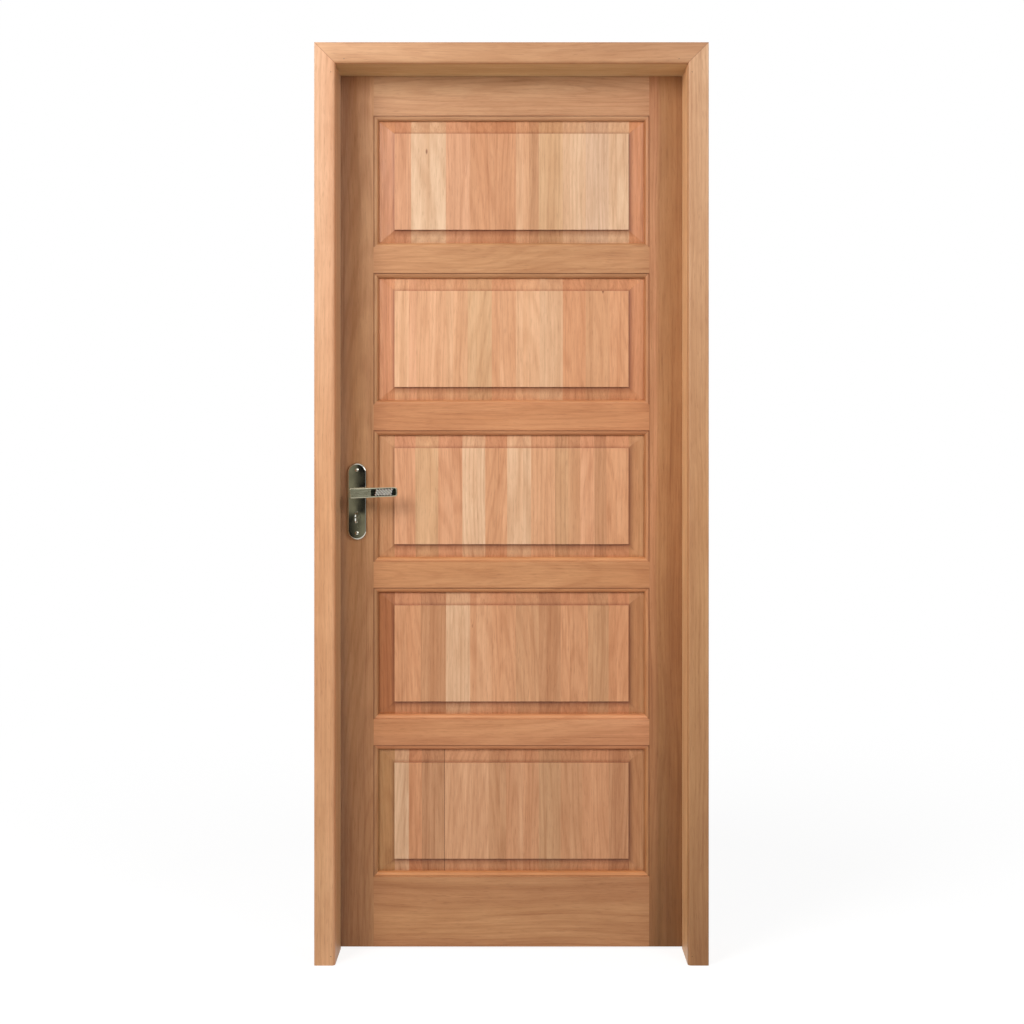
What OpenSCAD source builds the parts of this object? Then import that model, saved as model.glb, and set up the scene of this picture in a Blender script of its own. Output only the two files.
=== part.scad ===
// Prehung door: a five-panel solid wood leaf in its rebated frame, with a mitred front casing,
// butt hinges, a mortise lock with a key cylinder, and a lever handle on an oblong plate each side.
// The frame stands on z = 0, the wall's front face is y = 0, and the casing faces -y.
// The lock side is at -x. The leaf swings away, towards +y, on the hinges at +x.

/* [Door leaf] */
// Width of the leaf
leaf_w = 800; // [600:10:1000]
// Height of the leaf
leaf_h = 2000; // [1900:10:2200]
// Thickness of the leaf
leaf_t = 40; // [36:1:50]
// Flat face of each stile
stile_w = 85; // [80:1:120]
// Flat face of the top rail
top_rail_w = 100; // [80:1:160]
// Flat face of each cross rail
cross_rail_w = 60; // [50:1:90]
// Flat face of the bottom rail
bottom_rail_w = 160; // [120:1:260]

/* [Sticking and panels] */
// Width of the moulded edge round each panel
stick_w = 10; // [8:0.5:13]
// Depth of the square step where the moulding leaves the face
quirk_d = 2.5; // [1.5:0.5:4]
// Flat shelf between that step and the round
stick_shelf = 1.5; // [1:0.5:3]
// Width of the groove that holds the panels
groove_w = 12; // [9:1:13]
// Depth of that groove
groove_d = 14; // [11:1:16]
// Bevel of a panel at its two sides
side_bevel = 37; // [25:1:60]
// Bevel of a panel at its top and bottom
end_bevel = 30; // [20:1:50]
// Square step from the bevel up to the raised field
field_step = 5; // [2:0.5:6]
// How far the raised field lies below the leaf's face
field_recess = 3; // [0:0.5:4]
// Room for a panel to swell across its grain
panel_side_room = 5; // [2:0.5:7]
// Room for a panel along its grain
panel_end_room = 2; // [1:0.5:4]
// Clearance of a panel's tongue and a rail's tenon in the groove
groove_fit = 0.2; // [0.1:0.05:0.4]
// Glue line of the coped shoulders
glue_line = 0.1; // [0.05:0.05:0.2]
// Diameter of the dowels in the rail joints
dowel_d = 10; // [8:1:12]
// Length of a dowel in each of the two pieces it joins
dowel_reach = 38; // [25:1:42]
// From the lock case to a dowel's end beside it
dowel_gap = 2; // [1:0.5:4]
// From the edge of a rail's face to its dowels
dowel_edge = 16; // [12:1:20]

/* [Frame] */
// Thickness of the jambs and the head
jamb_t = 36; // [32:1:50]
// Depth of the frame through the wall
jamb_depth = 140; // [100:1:200]
// How far the stop covers the leaf's edge
stop_overlap = 10; // [7:1:12]
// Gap round the leaf at its sides and top
leaf_gap = 3; // [2.5:0.5:5]
// Gap between the leaf and the stop
stop_gap = 1; // [0.5:0.5:3]
// Gap under the leaf
floor_gap = 4; // [3:1:15]
// Round on the frame's bare edges
edge_r = 1.5; // [1:0.5:3]
// Length of the screws that hold the head
frame_screw_len = 70; // [50:1:90]

/* [Casing] */
// Width of the casing
casing_w = 46; // [40:1:80]
// Thickness of the casing
casing_t = 12; // [10:1:20]
// Round on the casing's inner edge
casing_inner_r = 7; // [4:0.5:9]
// Round on the casing's outer edge
casing_outer_r = 2; // [1:0.5:4]
// Diameter of the casing's nails
nail_d = 1.8; // [1.4:0.1:2.5]
// Length of those nails
nail_len = 32; // [25:1:45]
// From the inner edge of the casing to its nails
nail_inset = 9; // [8:1:14]
// From a mitre or a leg's end to the nearest nail
nail_end = 20; // [12:1:60]

/* [Hinges] */
// Height of a hinge
hinge_h = 90; // [75:5:120]
// Width of a hinge plate in the wood
hinge_plate_w = 28; // [26:1:32]
// Thickness of a hinge plate
hinge_t = 2; // [2:0.5:3]
// Radius of the hinge barrel
barrel_r = 5.5; // [5:0.5:6.5]
// Radius of the hinge pin
pin_r = 3; // [2.5:0.25:3.5]
// Running clearance round the pin
pin_fit = 0.05; // [0.02:0.01:0.08]
// From the back of the barrel to the faces it turns clear of
barrel_gap = 0.5; // [0.4:0.1:2]
// Gap between two knuckles
knuckle_gap = 0.4; // [0.3:0.1:0.8]
// From the top of the leaf to the middle of the top hinge
top_hinge_drop = 214; // [150:1:300]
// From the foot of the leaf to the middle of the bottom hinge
bottom_hinge_rise = 226; // [180:1:350]
// Length of the screws in the leaf
leaf_screw_len = 28; // [20:1:35]
// Length of the screws in the jamb
jamb_screw_len = 18; // [14:1:20]

/* [Wood screws] */
// Radius of a screw's shank
shank_r = 2; // [1.75:0.25:2.25]
// Radius of a screw's head
screw_head_r = 4; // [3.5:0.25:4.5]
// Clearance round a screw
screw_fit = 0.05; // [0.02:0.01:0.1]

/* [Lock] */
// From the leaf's edge to the lever's axis
backset = 47; // [45:1:50]
// Height of the lever's axis above the floor
spindle_h = 1042; // [950:1:1100]
// From the lever's axis down to the key's axis
key_drop = 56; // [56:1:72]
// Depth of the lock case into the stile
case_depth = 70; // [70:1:74]
// Thickness of the lock case
case_t = 15; // [14:0.5:18]
// Sheet thickness of the lock case
case_wall = 1.5; // [1:0.25:2]
// Room round the lock case in its mortise
mortise_fit = 0.5; // [0.3:0.1:1]
// Width of the forend
forend_w = 22; // [20:1:24]
// Thickness of the forend
forend_t = 3; // [2.5:0.5:4]
// How far the forend runs past the case at each end
forend_over = 25; // [18:1:30]
// Height of the latch's head
latch_h = 16; // [14:1:18]
// How far the latch stands out
latch_throw = 12; // [9:0.5:12]
// Height of the dead bolt
bolt_h = 24; // [20:1:26]
// Thickness of the dead bolt
bolt_t = 10; // [8:0.5:10.5]
// How far the dead bolt comes out
bolt_throw = 14; // [10:0.5:14]
// Running clearance of the latch and the bolt
bolt_fit = 0.25; // [0.15:0.05:0.4]
// Turn of the lever that draws the latch in fully, degrees
lever_turn = 40; // [30:1:45]
// Thickness of the strike plate
strike_t = 2; // [1.5:0.5:3]

/* [Handles] */
// Width of the handle plate
plate_w = 45; // [38:1:48]
// Height of the handle plate
plate_h = 176; // [170:1:220]
// How far the handle plate stands off the leaf
plate_t = 8; // [6:0.5:10]
// Sheet thickness of the handle plate
plate_wall = 2; // [1.5:0.25:2.5]
// Round on the rim of the handle plate
plate_rim_r = 4; // [2.5:0.5:5]
// From the lever's axis down to the middle of the plate
plate_drop = 20; // [10:1:30]
// From the end of the plate to its screw
plate_screw_end = 16; // [14:1:20]
// Length of the plate's screws
plate_screw_len = 24; // [20:1:26]
// How far the heads of the plate's screws are raised
plate_screw_dome = 1.2; // [0.5:0.1:1.5]
// Side of the square spindle
spindle_w = 8; // [7:0.5:9]
// Radius of the lever's neck
neck_r = 8; // [7.5:0.5:9]
// From the leaf's face to the front of the lever
lever_reach = 58; // [48:1:70]
// From the lever's axis to its tip
lever_len = 96; // [85:1:130]
// From the lever's axis to its other end
lever_back = 11; // [10:1:16]
// Height of the lever at its axis
lever_h = 23; // [20:1:28]
// Height of the lever at its tip
tip_h = 21; // [16:1:24]
// Thickness of the lever at its axis
lever_t = 12; // [10:0.5:16]
// Thickness of the lever at its tip
tip_t = 9; // [7:0.5:12]
// Radius of the corners of the tip
tip_r = 6; // [3:0.5:9]
// How much the lever points up at rest, degrees
lever_tilt = 2; // [0:0.5:5]
// Depth of the two polished recesses in the lever's front
recess_d = 0.8; // [0.4:0.1:1.2]
// From the lever's axis to the first recess
recess_from = 37; // [30:1:45]
// Length of the textured grip between the recesses
grip_len = 41; // [30:1:45]
// Width of the first recess at its narrow end
recess_w = 5.5; // [3:0.5:6]
// Slant of the recesses, over the lever's height
recess_slant = 5; // [3:0.5:7]

/* [Cylinder and key] */
// Radius of the cylinder's round part
cylinder_r = 8.5; // [8:0.25:9]
// Width of the cylinder's lower part
lobe_w = 10; // [9:0.5:10.5]
// From the key's axis to the foot of the lower part
lobe_drop = 24.5; // [23:0.5:25]
// How far the cylinder stands proud of each plate
cylinder_proud = 3; // [1:0.5:4]
// Radius of the plug that the key turns
plug_r = 6.4; // [6:0.1:6.8]
// Reach of the cam's nose from the key's axis
cam_reach = 15; // [14:0.25:15]
// Thickness of the key
key_t = 2.4; // [2:0.1:3]
// Height of the key's blade
key_blade_h = 8.5; // [8:0.25:9.5]
// Width across the key's bow
bow_w = 25; // [22:1:30]

/* [Hidden] */
$fn = 64;
panel_count = 5;
cut = 1;

// Planes across the leaf and the frame
leaf_back_y = jamb_depth;
leaf_front_y = leaf_back_y - leaf_t;
leaf_mid_y = leaf_back_y - leaf_t / 2;
stop_y = leaf_front_y - stop_gap;
edge_x = leaf_w / 2;
rebate_x = edge_x + leaf_gap;
stop_x = edge_x - stop_overlap;
jamb_x = stop_x + jamb_t;
casing_x = stop_x + casing_w;
leaf_foot_z = floor_gap;
leaf_top_z = leaf_foot_z + leaf_h;
head_stop_z = leaf_top_z - stop_overlap;
head_rebate_z = leaf_top_z + leaf_gap;
head_top_z = head_stop_z + jamb_t;
casing_top_z = head_stop_z + casing_w;

// Panels, counted from the top, and the rails between them
opening_w = leaf_w - 2 * stile_w;
opening_h = (leaf_h - top_rail_w - bottom_rail_w - (panel_count - 1) * cross_rail_w) / panel_count;
stick_r = stick_w - stick_shelf;
sight_w = opening_w - 2 * stick_w;
sight_h = opening_h - 2 * stick_w;
function opening_z(i) = leaf_foot_z + bottom_rail_w + (panel_count - i) * (opening_h + cross_rail_w);
function cross_rail_z(i) = opening_z(i) - cross_rail_w / 2;
top_rail_z = leaf_top_z - top_rail_w / 2;
bottom_rail_z = leaf_foot_z + bottom_rail_w / 2;
RAILS = concat(
    [[top_rail_z, top_rail_w], [bottom_rail_z, bottom_rail_w]],
    [for (i = [1:panel_count - 1]) [cross_rail_z(i), cross_rail_w]]
);

// Hinges
hinge_x = edge_x + leaf_gap / 2;
hinge_y = leaf_back_y + barrel_r + barrel_gap;
top_hinge_z = leaf_top_z - top_hinge_drop;
bottom_hinge_z = leaf_foot_z + bottom_hinge_rise;
HINGE_Z = [top_hinge_z, (top_hinge_z + bottom_hinge_z) / 2, bottom_hinge_z];
knuckles = 5;
knuckle_h = hinge_h / knuckles;
pin_cap_h = 3;
plate_screws_across = [hinge_plate_w * 0.35, hinge_plate_w * 0.65, hinge_plate_w * 0.35];
plate_screws_up = [-hinge_h / 3, 0, hinge_h / 3];

// Lock, on the leaf's edge at -x
lever_x = -edge_x + backset;
lever_z = spindle_h;
key_z = lever_z - key_drop;
case_x0 = -edge_x + forend_t;
case_x1 = case_x0 + case_depth;
hub_r = 10;
journal_r = 8;
arm_len = 18;
arm_r = 2.5;
arm_slack = 0.8;
latch_z = lever_z + arm_len;
latch_t = case_t - 2 * case_wall - 2 * bolt_fit;
latch_back_x = lever_x - 28;
latch_bar_h = 4.5;
latch_bar_t = 6;
hook_w = 4;
hook_foot_z = lever_z + hub_r + 2;
post_x = lever_x - 9;
post_w = 3;
bolt_z = (lever_z - hub_r + key_z + cam_reach) / 2;
leg_dip = 2.5;
bolt_leg_w = 2.5;
bolt_leg_half = 13;
case_z0 = key_z - lobe_drop - 5.5;
case_z1 = latch_z + latch_h / 2 + 7;
forend_z0 = case_z0 - forend_over;
forend_z1 = case_z1 + forend_over;
groove_floor_x = -edge_x + stile_w + stick_w - groove_d;
forend_screw_z = [case_z0 - forend_over / 2, case_z1 + forend_over / 2];
rivet_r = 2;
rivet_inset = 4;
spring_r = 2.6;
spring_wire_r = 0.4;
spring_turns = 6;
strike_margin = 26;
strike_y0 = leaf_mid_y - 14;
strike_z0 = bolt_z - bolt_h / 2 - strike_margin;
strike_z1 = latch_z + latch_h / 2 + strike_margin;
pocket_room = 2;

// Handles
plate_z = lever_z - plate_drop;
plate_screw_z = [plate_z - plate_h / 2 + plate_screw_end, plate_z + plate_h / 2 - plate_screw_end];
lock_zone = [min(case_z0, plate_screw_z[0]), max(case_z1, plate_screw_z[1])];
bush_wall = 2.5;
bush_lip = 1;
neck_from = 1;
socket_depth = lever_reach * 0.6;
socket_fit = 0.05;
set_screw_r = 2;
set_screw_y = lever_reach * 0.35;
lever_edge_r = 2;
lever_rim = 2.5;

// Cylinder
cylinder_y0 = leaf_front_y - plate_t - cylinder_proud;
cylinder_y1 = leaf_back_y + plate_t + cylinder_proud;
cam_w = 10;
cam_fit = 0.2;
cam_nose_w = 6;
plug_fit = 0.05;
keyway_fit = 0.1;
key_depth = cylinder_y1 - leaf_mid_y - cam_w / 2 - 2;
bow_hole_r = 3;
cylinder_screw_r = 2.5;
cylinder_screw_z = key_z - lobe_drop + lobe_w / 2 - 0.5;

// Copies at the other side of the leaf's middle plane
module rear_side() {
    translate([0, 2 * leaf_mid_y, 0])
        mirror([0, 1, 0])
            children();
}

// What lies outside a quarter round of radius r whose corner is at the origin
module corner_waste(r) {
    difference() {
        translate([-r, -r]) square(r + cut);
        translate([-r, -r]) circle(r);
    }
}

// A countersunk wood screw along +z, the rim of its head at z = 0, raised by dome in its middle
module screw(len, head_r = screw_head_r, r = shank_r, dome = 0) {
    slot_w = head_r / 5;
    difference() {
        union() {
            cylinder(h = head_r - r, r1 = head_r, r2 = r);
            cylinder(h = len - 2 * r, r = r);
            translate([0, 0, len - 2 * r]) cylinder(h = 2 * r, r1 = r, r2 = r / 4);
            if (dome > 0) head_dome(head_r, dome);
        }
        for (a = [0, 90])
            rotate(a)
                translate([-head_r / 2, -slot_w / 2, -dome - cut])
                    cube([head_r, slot_w, dome + slot_w + cut]);
    }
}

// The raised face of a screw's head, below z = 0
module head_dome(r, height) {
    ball_r = (r * r + height * height) / (2 * height);
    rotate_extrude()
        intersection() {
            translate([0, ball_r - height]) circle(ball_r, $fn = 96);
            translate([0, -height]) square([r, height]);
        }
}

// The hole for that screw, with its countersink
module screw_hole(len, head_r = screw_head_r, r = shank_r) {
    hole_r = r + screw_fit;
    sink_r = head_r + screw_fit;
    cylinder(h = sink_r - hole_r, r1 = sink_r, r2 = hole_r);
    cylinder(h = len + screw_fit, r = hole_r);
    translate([0, 0, -cut]) cylinder(h = cut, r = sink_r);
}

// Section of a stile, from its plain edge at x = 0 to the moulded edge and the panel groove.
// grow thickens the moulded edge and narrows the groove, for cutting the copes of the rails.
module member_section(face, grow = 0) {
    half = leaf_t / 2;
    shelf = half - quirk_d + grow;
    tip = face + stick_w + grow;
    difference() {
        union() {
            translate([0, -half]) square([face, leaf_t]);
            translate([0, -shelf]) square([tip, 2 * shelf]);
        }
        for (side = [0, 1])
            mirror([0, side])
                translate([tip, shelf]) corner_waste(stick_r + grow);
        translate([face + stick_w - groove_d, -groove_w / 2 + grow])
            square([groove_d + cut, groove_w - 2 * grow]);
    }
}

// Both stiles without their holes, grown for the copes of the rails
module stile_bars(grow = 0) {
    for (side = [0, 1])
        mirror([side, 0, 0])
            translate([-edge_x, leaf_mid_y, leaf_foot_z])
                linear_extrude(leaf_h)
                    member_section(stile_w, grow);
}

// How deep a dowel at height z goes into the stile; beside the lock it stops short of the case
function lock_side_reach(z) =
    z > lock_zone[0] - dowel_d && z < lock_zone[1] + dowel_d
        ? min(dowel_reach, groove_floor_x - case_x1 - dowel_gap)
        : dowel_reach;

// Dowels of every rail at -x, from the stile's groove floor both ways
module side_dowels(at_lock, fit = 0) {
    for (rail = RAILS)
        for (side = [-1, 1]) {
            z = rail[0] + side * (rail[1] / 2 - dowel_edge);
            reach = at_lock ? lock_side_reach(z) : dowel_reach;
            translate([groove_floor_x - reach - fit, leaf_mid_y, z])
                rotate([0, 90, 0])
                    cylinder(h = reach + dowel_reach + 2 * fit, d = dowel_d + 2 * fit);
        }
}

module all_dowels(fit = 0) {
    side_dowels(true, fit);
    mirror([1, 0, 0]) side_dowels(false, fit);
}

// A rail with its coped shoulders and tenons; the section is a child, x up from the rail's middle
module rail(z) {
    difference() {
        translate([0, leaf_mid_y, z])
            rotate([0, -90, 0])
                linear_extrude(sight_w + 2 * groove_d - 2 * glue_line, center = true)
                    children();
        stile_bars(glue_line);
        all_dowels(glue_line);
    }
}

// Section of a panel: x across it, y through the thickness
module panel_section(half_sight, bevel, room) {
    field = leaf_t / 2 - field_recess;
    shoulder = field - field_step;
    tongue = groove_w / 2 - groove_fit;
    rim = half_sight + groove_d - room;
    edge = [
        [half_sight - bevel, -field], [half_sight - bevel, -shoulder],
        [half_sight - groove_fit, -tongue], [rim, -tongue],
        [rim, tongue], [half_sight - groove_fit, tongue],
        [half_sight - bevel, shoulder], [half_sight - bevel, field]
    ];
    polygon(concat(edge, [for (i = [len(edge) - 1:-1:0]) [-edge[i][0], edge[i][1]]]));
}

// A raised panel: the bevels mitre where its two sections cross
module panel(i) {
    z = opening_z(i) + opening_h / 2;
    width = sight_w + 2 * groove_d;
    height = sight_h + 2 * groove_d;
    translate([0, leaf_mid_y, z])
        intersection() {
            linear_extrude(height, center = true)
                panel_section(sight_w / 2, side_bevel, panel_side_room);
            rotate([0, -90, 0])
                linear_extrude(width, center = true)
                    panel_section(sight_h / 2, end_bevel, panel_end_room);
        }
}

// Section of the lock-side jamb: the stop in front, the leaf's rebate behind
module jamb_section() {
    difference() {
        translate([-jamb_x, 0]) square([jamb_t, jamb_depth]);
        translate([-rebate_x, stop_y]) square([jamb_t, jamb_depth]);
        translate([-stop_x, stop_y]) corner_waste(edge_r);
        translate([-rebate_x, jamb_depth]) corner_waste(edge_r);
    }
}

module frame_screw_places() {
    for (y = [stop_y / 2, (stop_y + jamb_depth) / 2])
        translate([-jamb_x, y, (head_rebate_z + head_top_z) / 2])
            rotate([0, 90, 0])
                children();
}

// A jamb at -x before its hardware is let in, with the holes of the head's screws and its nails
module plain_jamb() {
    difference() {
        linear_extrude(head_top_z) jamb_section();
        frame_screw_places() screw_hole(frame_screw_len);
        leg_nails(screw_fit);
    }
}

module leg_nails(fit = 0) {
    for (z = [nail_end, head_stop_z - nail_end])
        translate([-stop_x - nail_inset, 0, z]) nail(fit);
}

module head_nails(fit = 0) {
    for (side = [-1, 1])
        translate([side * (stop_x - nail_end), 0, head_stop_z + nail_inset]) nail(fit);
}

// A brad driven through the casing at y = 0
module nail(fit = 0) {
    translate([0, -casing_t - (fit > 0 ? cut : 0), 0])
        rotate([-90, 0, 0])
            cylinder(h = nail_len + (fit > 0 ? cut + fit : 0), r = nail_d / 2 + fit);
}

// Section of the casing: x from the inner edge, y from the wall to the front
module casing_section() {
    difference() {
        square([casing_w, casing_t]);
        translate([casing_w, casing_t]) corner_waste(casing_outer_r);
        mirror([1, 0]) translate([0, casing_t]) corner_waste(casing_inner_r);
    }
}

// The casing's leg at -x, mitred at the top
module casing_leg() {
    difference() {
        intersection() {
            translate([-stop_x, 0, 0])
                rotate([0, 0, 180])
                    linear_extrude(casing_top_z) casing_section();
            rotate([90, 0, 0])
                linear_extrude(casing_t)
                    polygon([
                        [-casing_x, 0], [-stop_x, 0],
                        [-stop_x, head_stop_z], [-casing_x, casing_top_z]
                    ]);
        }
        leg_nails(screw_fit);
    }
}

module lock_jamb() {
    color("burlywood")
        difference() {
            plain_jamb();
            translate([-rebate_x - strike_t, strike_y0, strike_z0])
                cube([strike_t + cut, jamb_depth, strike_z1 - strike_z0]);
            strike_pocket(latch_z, latch_h, latch_t, latch_throw);
            strike_pocket(bolt_z, bolt_h, bolt_t, bolt_throw);
            strike_screw_places() screw_hole(jamb_screw_len);
        }
}

// Room in the jamb for a bolt that comes out by throw
module strike_pocket(z, height, thickness, throw) {
    depth = throw - leaf_gap + pocket_room;
    translate([-rebate_x - depth, leaf_mid_y - thickness / 2 - pocket_room, z - height / 2 - pocket_room])
        cube([depth + cut, thickness + 2 * pocket_room, height + 2 * pocket_room]);
}

module strike_screw_places() {
    for (z = [strike_z0 + strike_margin / 2, strike_z1 - strike_margin / 2])
        translate([-rebate_x, leaf_mid_y, z])
            rotate([0, -90, 0])
                children();
}

module strike_plate() {
    color("silver")
        difference() {
            translate([-rebate_x - strike_t, strike_y0, strike_z0])
                cube([strike_t, jamb_depth - strike_y0, strike_z1 - strike_z0]);
            strike_pocket(latch_z, latch_h, latch_t, latch_throw);
            strike_pocket(bolt_z, bolt_h, bolt_t, bolt_throw);
            strike_screw_places() screw_hole(jamb_screw_len);
        }
}

module strike_screws() {
    color("silver")
        strike_screw_places() screw(jamb_screw_len);
}

module hinge_jamb() {
    color("burlywood")
        difference() {
            mirror([1, 0, 0]) plain_jamb();
            for (z = HINGE_Z) {
                hinge_plate(z, 1);
                hinge_screw_places(z, 1) screw_hole(jamb_screw_len);
            }
        }
}

module head_jamb() {
    color("burlywood")
        difference() {
            rotate([90, 0, 90])
                linear_extrude(2 * rebate_x, center = true)
                    difference() {
                        translate([0, head_stop_z]) square([jamb_depth, jamb_t]);
                        translate([stop_y, head_stop_z - cut])
                            square([jamb_depth, head_rebate_z - head_stop_z + cut]);
                        mirror([0, 1]) translate([stop_y, -head_stop_z]) corner_waste(edge_r);
                        mirror([0, 1]) translate([jamb_depth, -head_rebate_z]) corner_waste(edge_r);
                    }
            for (side = [0, 1])
                mirror([side, 0, 0]) {
                    translate([-rebate_x - cut, -cut, head_stop_z - cut])
                        cube([rebate_x - stop_x + cut, stop_y + cut, jamb_t + 2 * cut]);
                    frame_screw_places() screw_hole(frame_screw_len);
                }
            head_nails(screw_fit);
        }
}

module frame_screws() {
    color("silver")
        for (side = [0, 1])
            mirror([side, 0, 0])
                frame_screw_places() screw(frame_screw_len);
}

module lock_side_casing() {
    color("tan") casing_leg();
}

module hinge_side_casing() {
    color("tan") mirror([1, 0, 0]) casing_leg();
}

module head_casing() {
    color("tan")
        difference() {
            intersection() {
                translate([0, 0, head_stop_z])
                    rotate([0, -90, 0])
                        linear_extrude(2 * casing_x, center = true)
                            mirror([0, 1]) casing_section();
                rotate([90, 0, 0])
                    linear_extrude(casing_t)
                        polygon([
                            [-stop_x, head_stop_z], [stop_x, head_stop_z],
                            [casing_x, casing_top_z], [-casing_x, casing_top_z]
                        ]);
            }
            head_nails(screw_fit);
        }
}

module casing_nails() {
    color("dimgray") {
        leg_nails();
        mirror([1, 0, 0]) leg_nails();
        head_nails();
    }
}

module lock_stile() {
    color("peru")
        difference() {
            translate([-edge_x, leaf_mid_y, leaf_foot_z])
                linear_extrude(leaf_h) member_section(stile_w);
            all_dowels(glue_line);
            lock_mortise();
            plate_screw_places() screw_hole(plate_screw_len);
            forend_screw_places() screw_hole(leaf_screw_len);
        }
}

module hinge_stile() {
    color("peru")
        difference() {
            mirror([1, 0, 0])
                translate([-edge_x, leaf_mid_y, leaf_foot_z])
                    linear_extrude(leaf_h) member_section(stile_w);
            all_dowels(glue_line);
            for (z = HINGE_Z) {
                hinge_plate(z, -1);
                hinge_screw_places(z, -1) screw_hole(leaf_screw_len);
            }
        }
}

module top_rail() {
    color("sandybrown")
        rail(leaf_top_z) mirror([1, 0]) member_section(top_rail_w);
}

module bottom_rail() {
    color("sandybrown")
        rail(leaf_foot_z) member_section(bottom_rail_w);
}

module cross_rail(i) {
    color("sandybrown")
        rail(cross_rail_z(i))
            for (side = [0, 1])
                mirror([side, 0]) member_section(cross_rail_w / 2);
}

module raised_panel(i) {
    color("navajowhite") panel(i);
}

module dowels() {
    color("wheat")
        all_dowels();
}

// The part of a hinge plate that lies in the wood: side 1 in the jamb, -1 in the leaf
module hinge_plate(z, side) {
    x = side > 0 ? rebate_x : edge_x - hinge_t;
    translate([x, leaf_back_y - hinge_plate_w, z - hinge_h / 2])
        cube([hinge_t, hinge_plate_w, hinge_h]);
}

// Places of a hinge plate's screws, with +z into the wood
module hinge_screw_places(z, side) {
    x = side > 0 ? rebate_x : edge_x;
    for (i = [0:len(plate_screws_up) - 1])
        translate([x, leaf_back_y - plate_screws_across[i], z + plate_screws_up[i]])
            rotate([0, side * 90, 0])
                children();
}

// A hinge plate with every other knuckle of the barrel; the plate in the jamb has the end ones
module hinge_leaf(z, side) {
    x = side > 0 ? rebate_x : edge_x - hinge_t;
    first = side > 0 ? 0 : 1;
    color("silver")
        difference() {
            union() {
                hinge_plate(z, side);
                for (k = [first:2:knuckles - 1]) {
                    foot = k * knuckle_h + (k > 0 ? knuckle_gap / 2 : 0);
                    top = (k + 1) * knuckle_h - (k < knuckles - 1 ? knuckle_gap / 2 : 0);
                    translate([0, 0, z - hinge_h / 2 + foot]) {
                        translate([hinge_x, hinge_y, 0])
                            cylinder(h = top - foot, r = barrel_r);
                        translate([x, leaf_back_y - cut, 0])
                            cube([hinge_t, hinge_y - leaf_back_y + cut, top - foot]);
                    }
                }
            }
            translate([hinge_x, hinge_y, z - hinge_h / 2 - cut])
                cylinder(h = hinge_h + 2 * cut, r = pin_r + pin_fit);
            hinge_screw_places(z, side) screw_hole(side > 0 ? jamb_screw_len : leaf_screw_len);
        }
}

// A hinge pin with a domed cap at each end
module hinge_pin(z) {
    cap_r = barrel_r - 0.5;
    half = hinge_h / 2;
    color("gainsboro")
        translate([hinge_x, hinge_y, z]) {
            cylinder(h = hinge_h, r = pin_r, center = true);
            for (side = [0, 1])
                mirror([0, 0, side])
                    translate([0, 0, half])
                        rotate_extrude()
                            intersection() {
                                translate([0, pin_cap_h - cap_r]) circle(cap_r);
                                square([cap_r, pin_cap_h]);
                            }
        }
}

module hinge_jamb_screws() {
    color("gainsboro")
        for (z = HINGE_Z)
            hinge_screw_places(z, 1) screw(jamb_screw_len);
}

module hinge_leaf_screws() {
    color("gainsboro")
        for (z = HINGE_Z)
            hinge_screw_places(z, -1) screw(leaf_screw_len);
}

// Outline of the key cylinder about its axis, y up
module cylinder_outline(fit = 0) {
    circle(cylinder_r + fit);
    translate([-lobe_w / 2 - fit, lobe_w / 2 - lobe_drop]) square([lobe_w + 2 * fit, lobe_drop - lobe_w / 2]);
    translate([0, lobe_w / 2 - lobe_drop]) circle(lobe_w / 2 + fit);
}

// That outline as a prism from y0 to y1
module cylinder_prism(y0, y1, fit = 0) {
    translate([lever_x, y1, key_z])
        rotate([90, 0, 0])
            linear_extrude(y1 - y0) cylinder_outline(fit);
}

// A round bar along y
module bar_y(x, z, r, y0, y1) {
    translate([x, y0, z])
        rotate([-90, 0, 0])
            cylinder(h = y1 - y0, r = r);
}

// The forend's flat bar with round ends, grown by fit
module forend_bar(depth, fit = 0) {
    r = forend_w / 2 + fit;
    translate([-edge_x, leaf_mid_y, 0])
        rotate([90, 0, 90])
            linear_extrude(depth) {
                translate([-r, forend_z0 + forend_w / 2])
                    square([2 * r, forend_z1 - forend_z0 - forend_w]);
                for (z = [forend_z0 + forend_w / 2, forend_z1 - forend_w / 2])
                    translate([0, z]) circle(r);
            }
}

module forend_screw_places() {
    for (z = forend_screw_z)
        translate([-edge_x, leaf_mid_y, z])
            rotate([0, 90, 0])
                children();
}

// Openings in the forend and the case for the latch and the dead bolt
module bolt_windows() {
    window(latch_z, latch_t, latch_h);
    window(bolt_z, bolt_t, bolt_h);
}

module window(z, thickness, height) {
    translate([-edge_x - cut, leaf_mid_y - thickness / 2 - bolt_fit, z - height / 2 - bolt_fit])
        cube([forend_t + case_wall + 2 * cut, thickness + 2 * bolt_fit, height + 2 * bolt_fit]);
}

// What is cut out of the lock stile: the case's mortise, the forend's seat and the cross holes
module lock_mortise() {
    half = case_t / 2 + mortise_fit;
    hole_r = neck_r + bush_wall;
    translate([-edge_x - cut, leaf_mid_y - half, case_z0 - mortise_fit])
        cube([case_x1 + edge_x + mortise_fit + cut, 2 * half, case_z1 - case_z0 + 2 * mortise_fit]);
    translate([-cut, 0, 0]) forend_bar(forend_t + cut, mortise_fit / 2);
    bar_y(lever_x, lever_z, hole_r, leaf_front_y - cut, leaf_back_y + cut);
    cylinder_prism(leaf_front_y - cut, leaf_back_y + cut, mortise_fit);
    cylinder_screw_hole();
}

module cylinder_screw_hole() {
    translate([-edge_x, leaf_mid_y, cylinder_screw_z])
        rotate([0, 90, 0])
            screw_hole(backset + lobe_w / 4, 2 * cylinder_screw_r, cylinder_screw_r);
}

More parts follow.
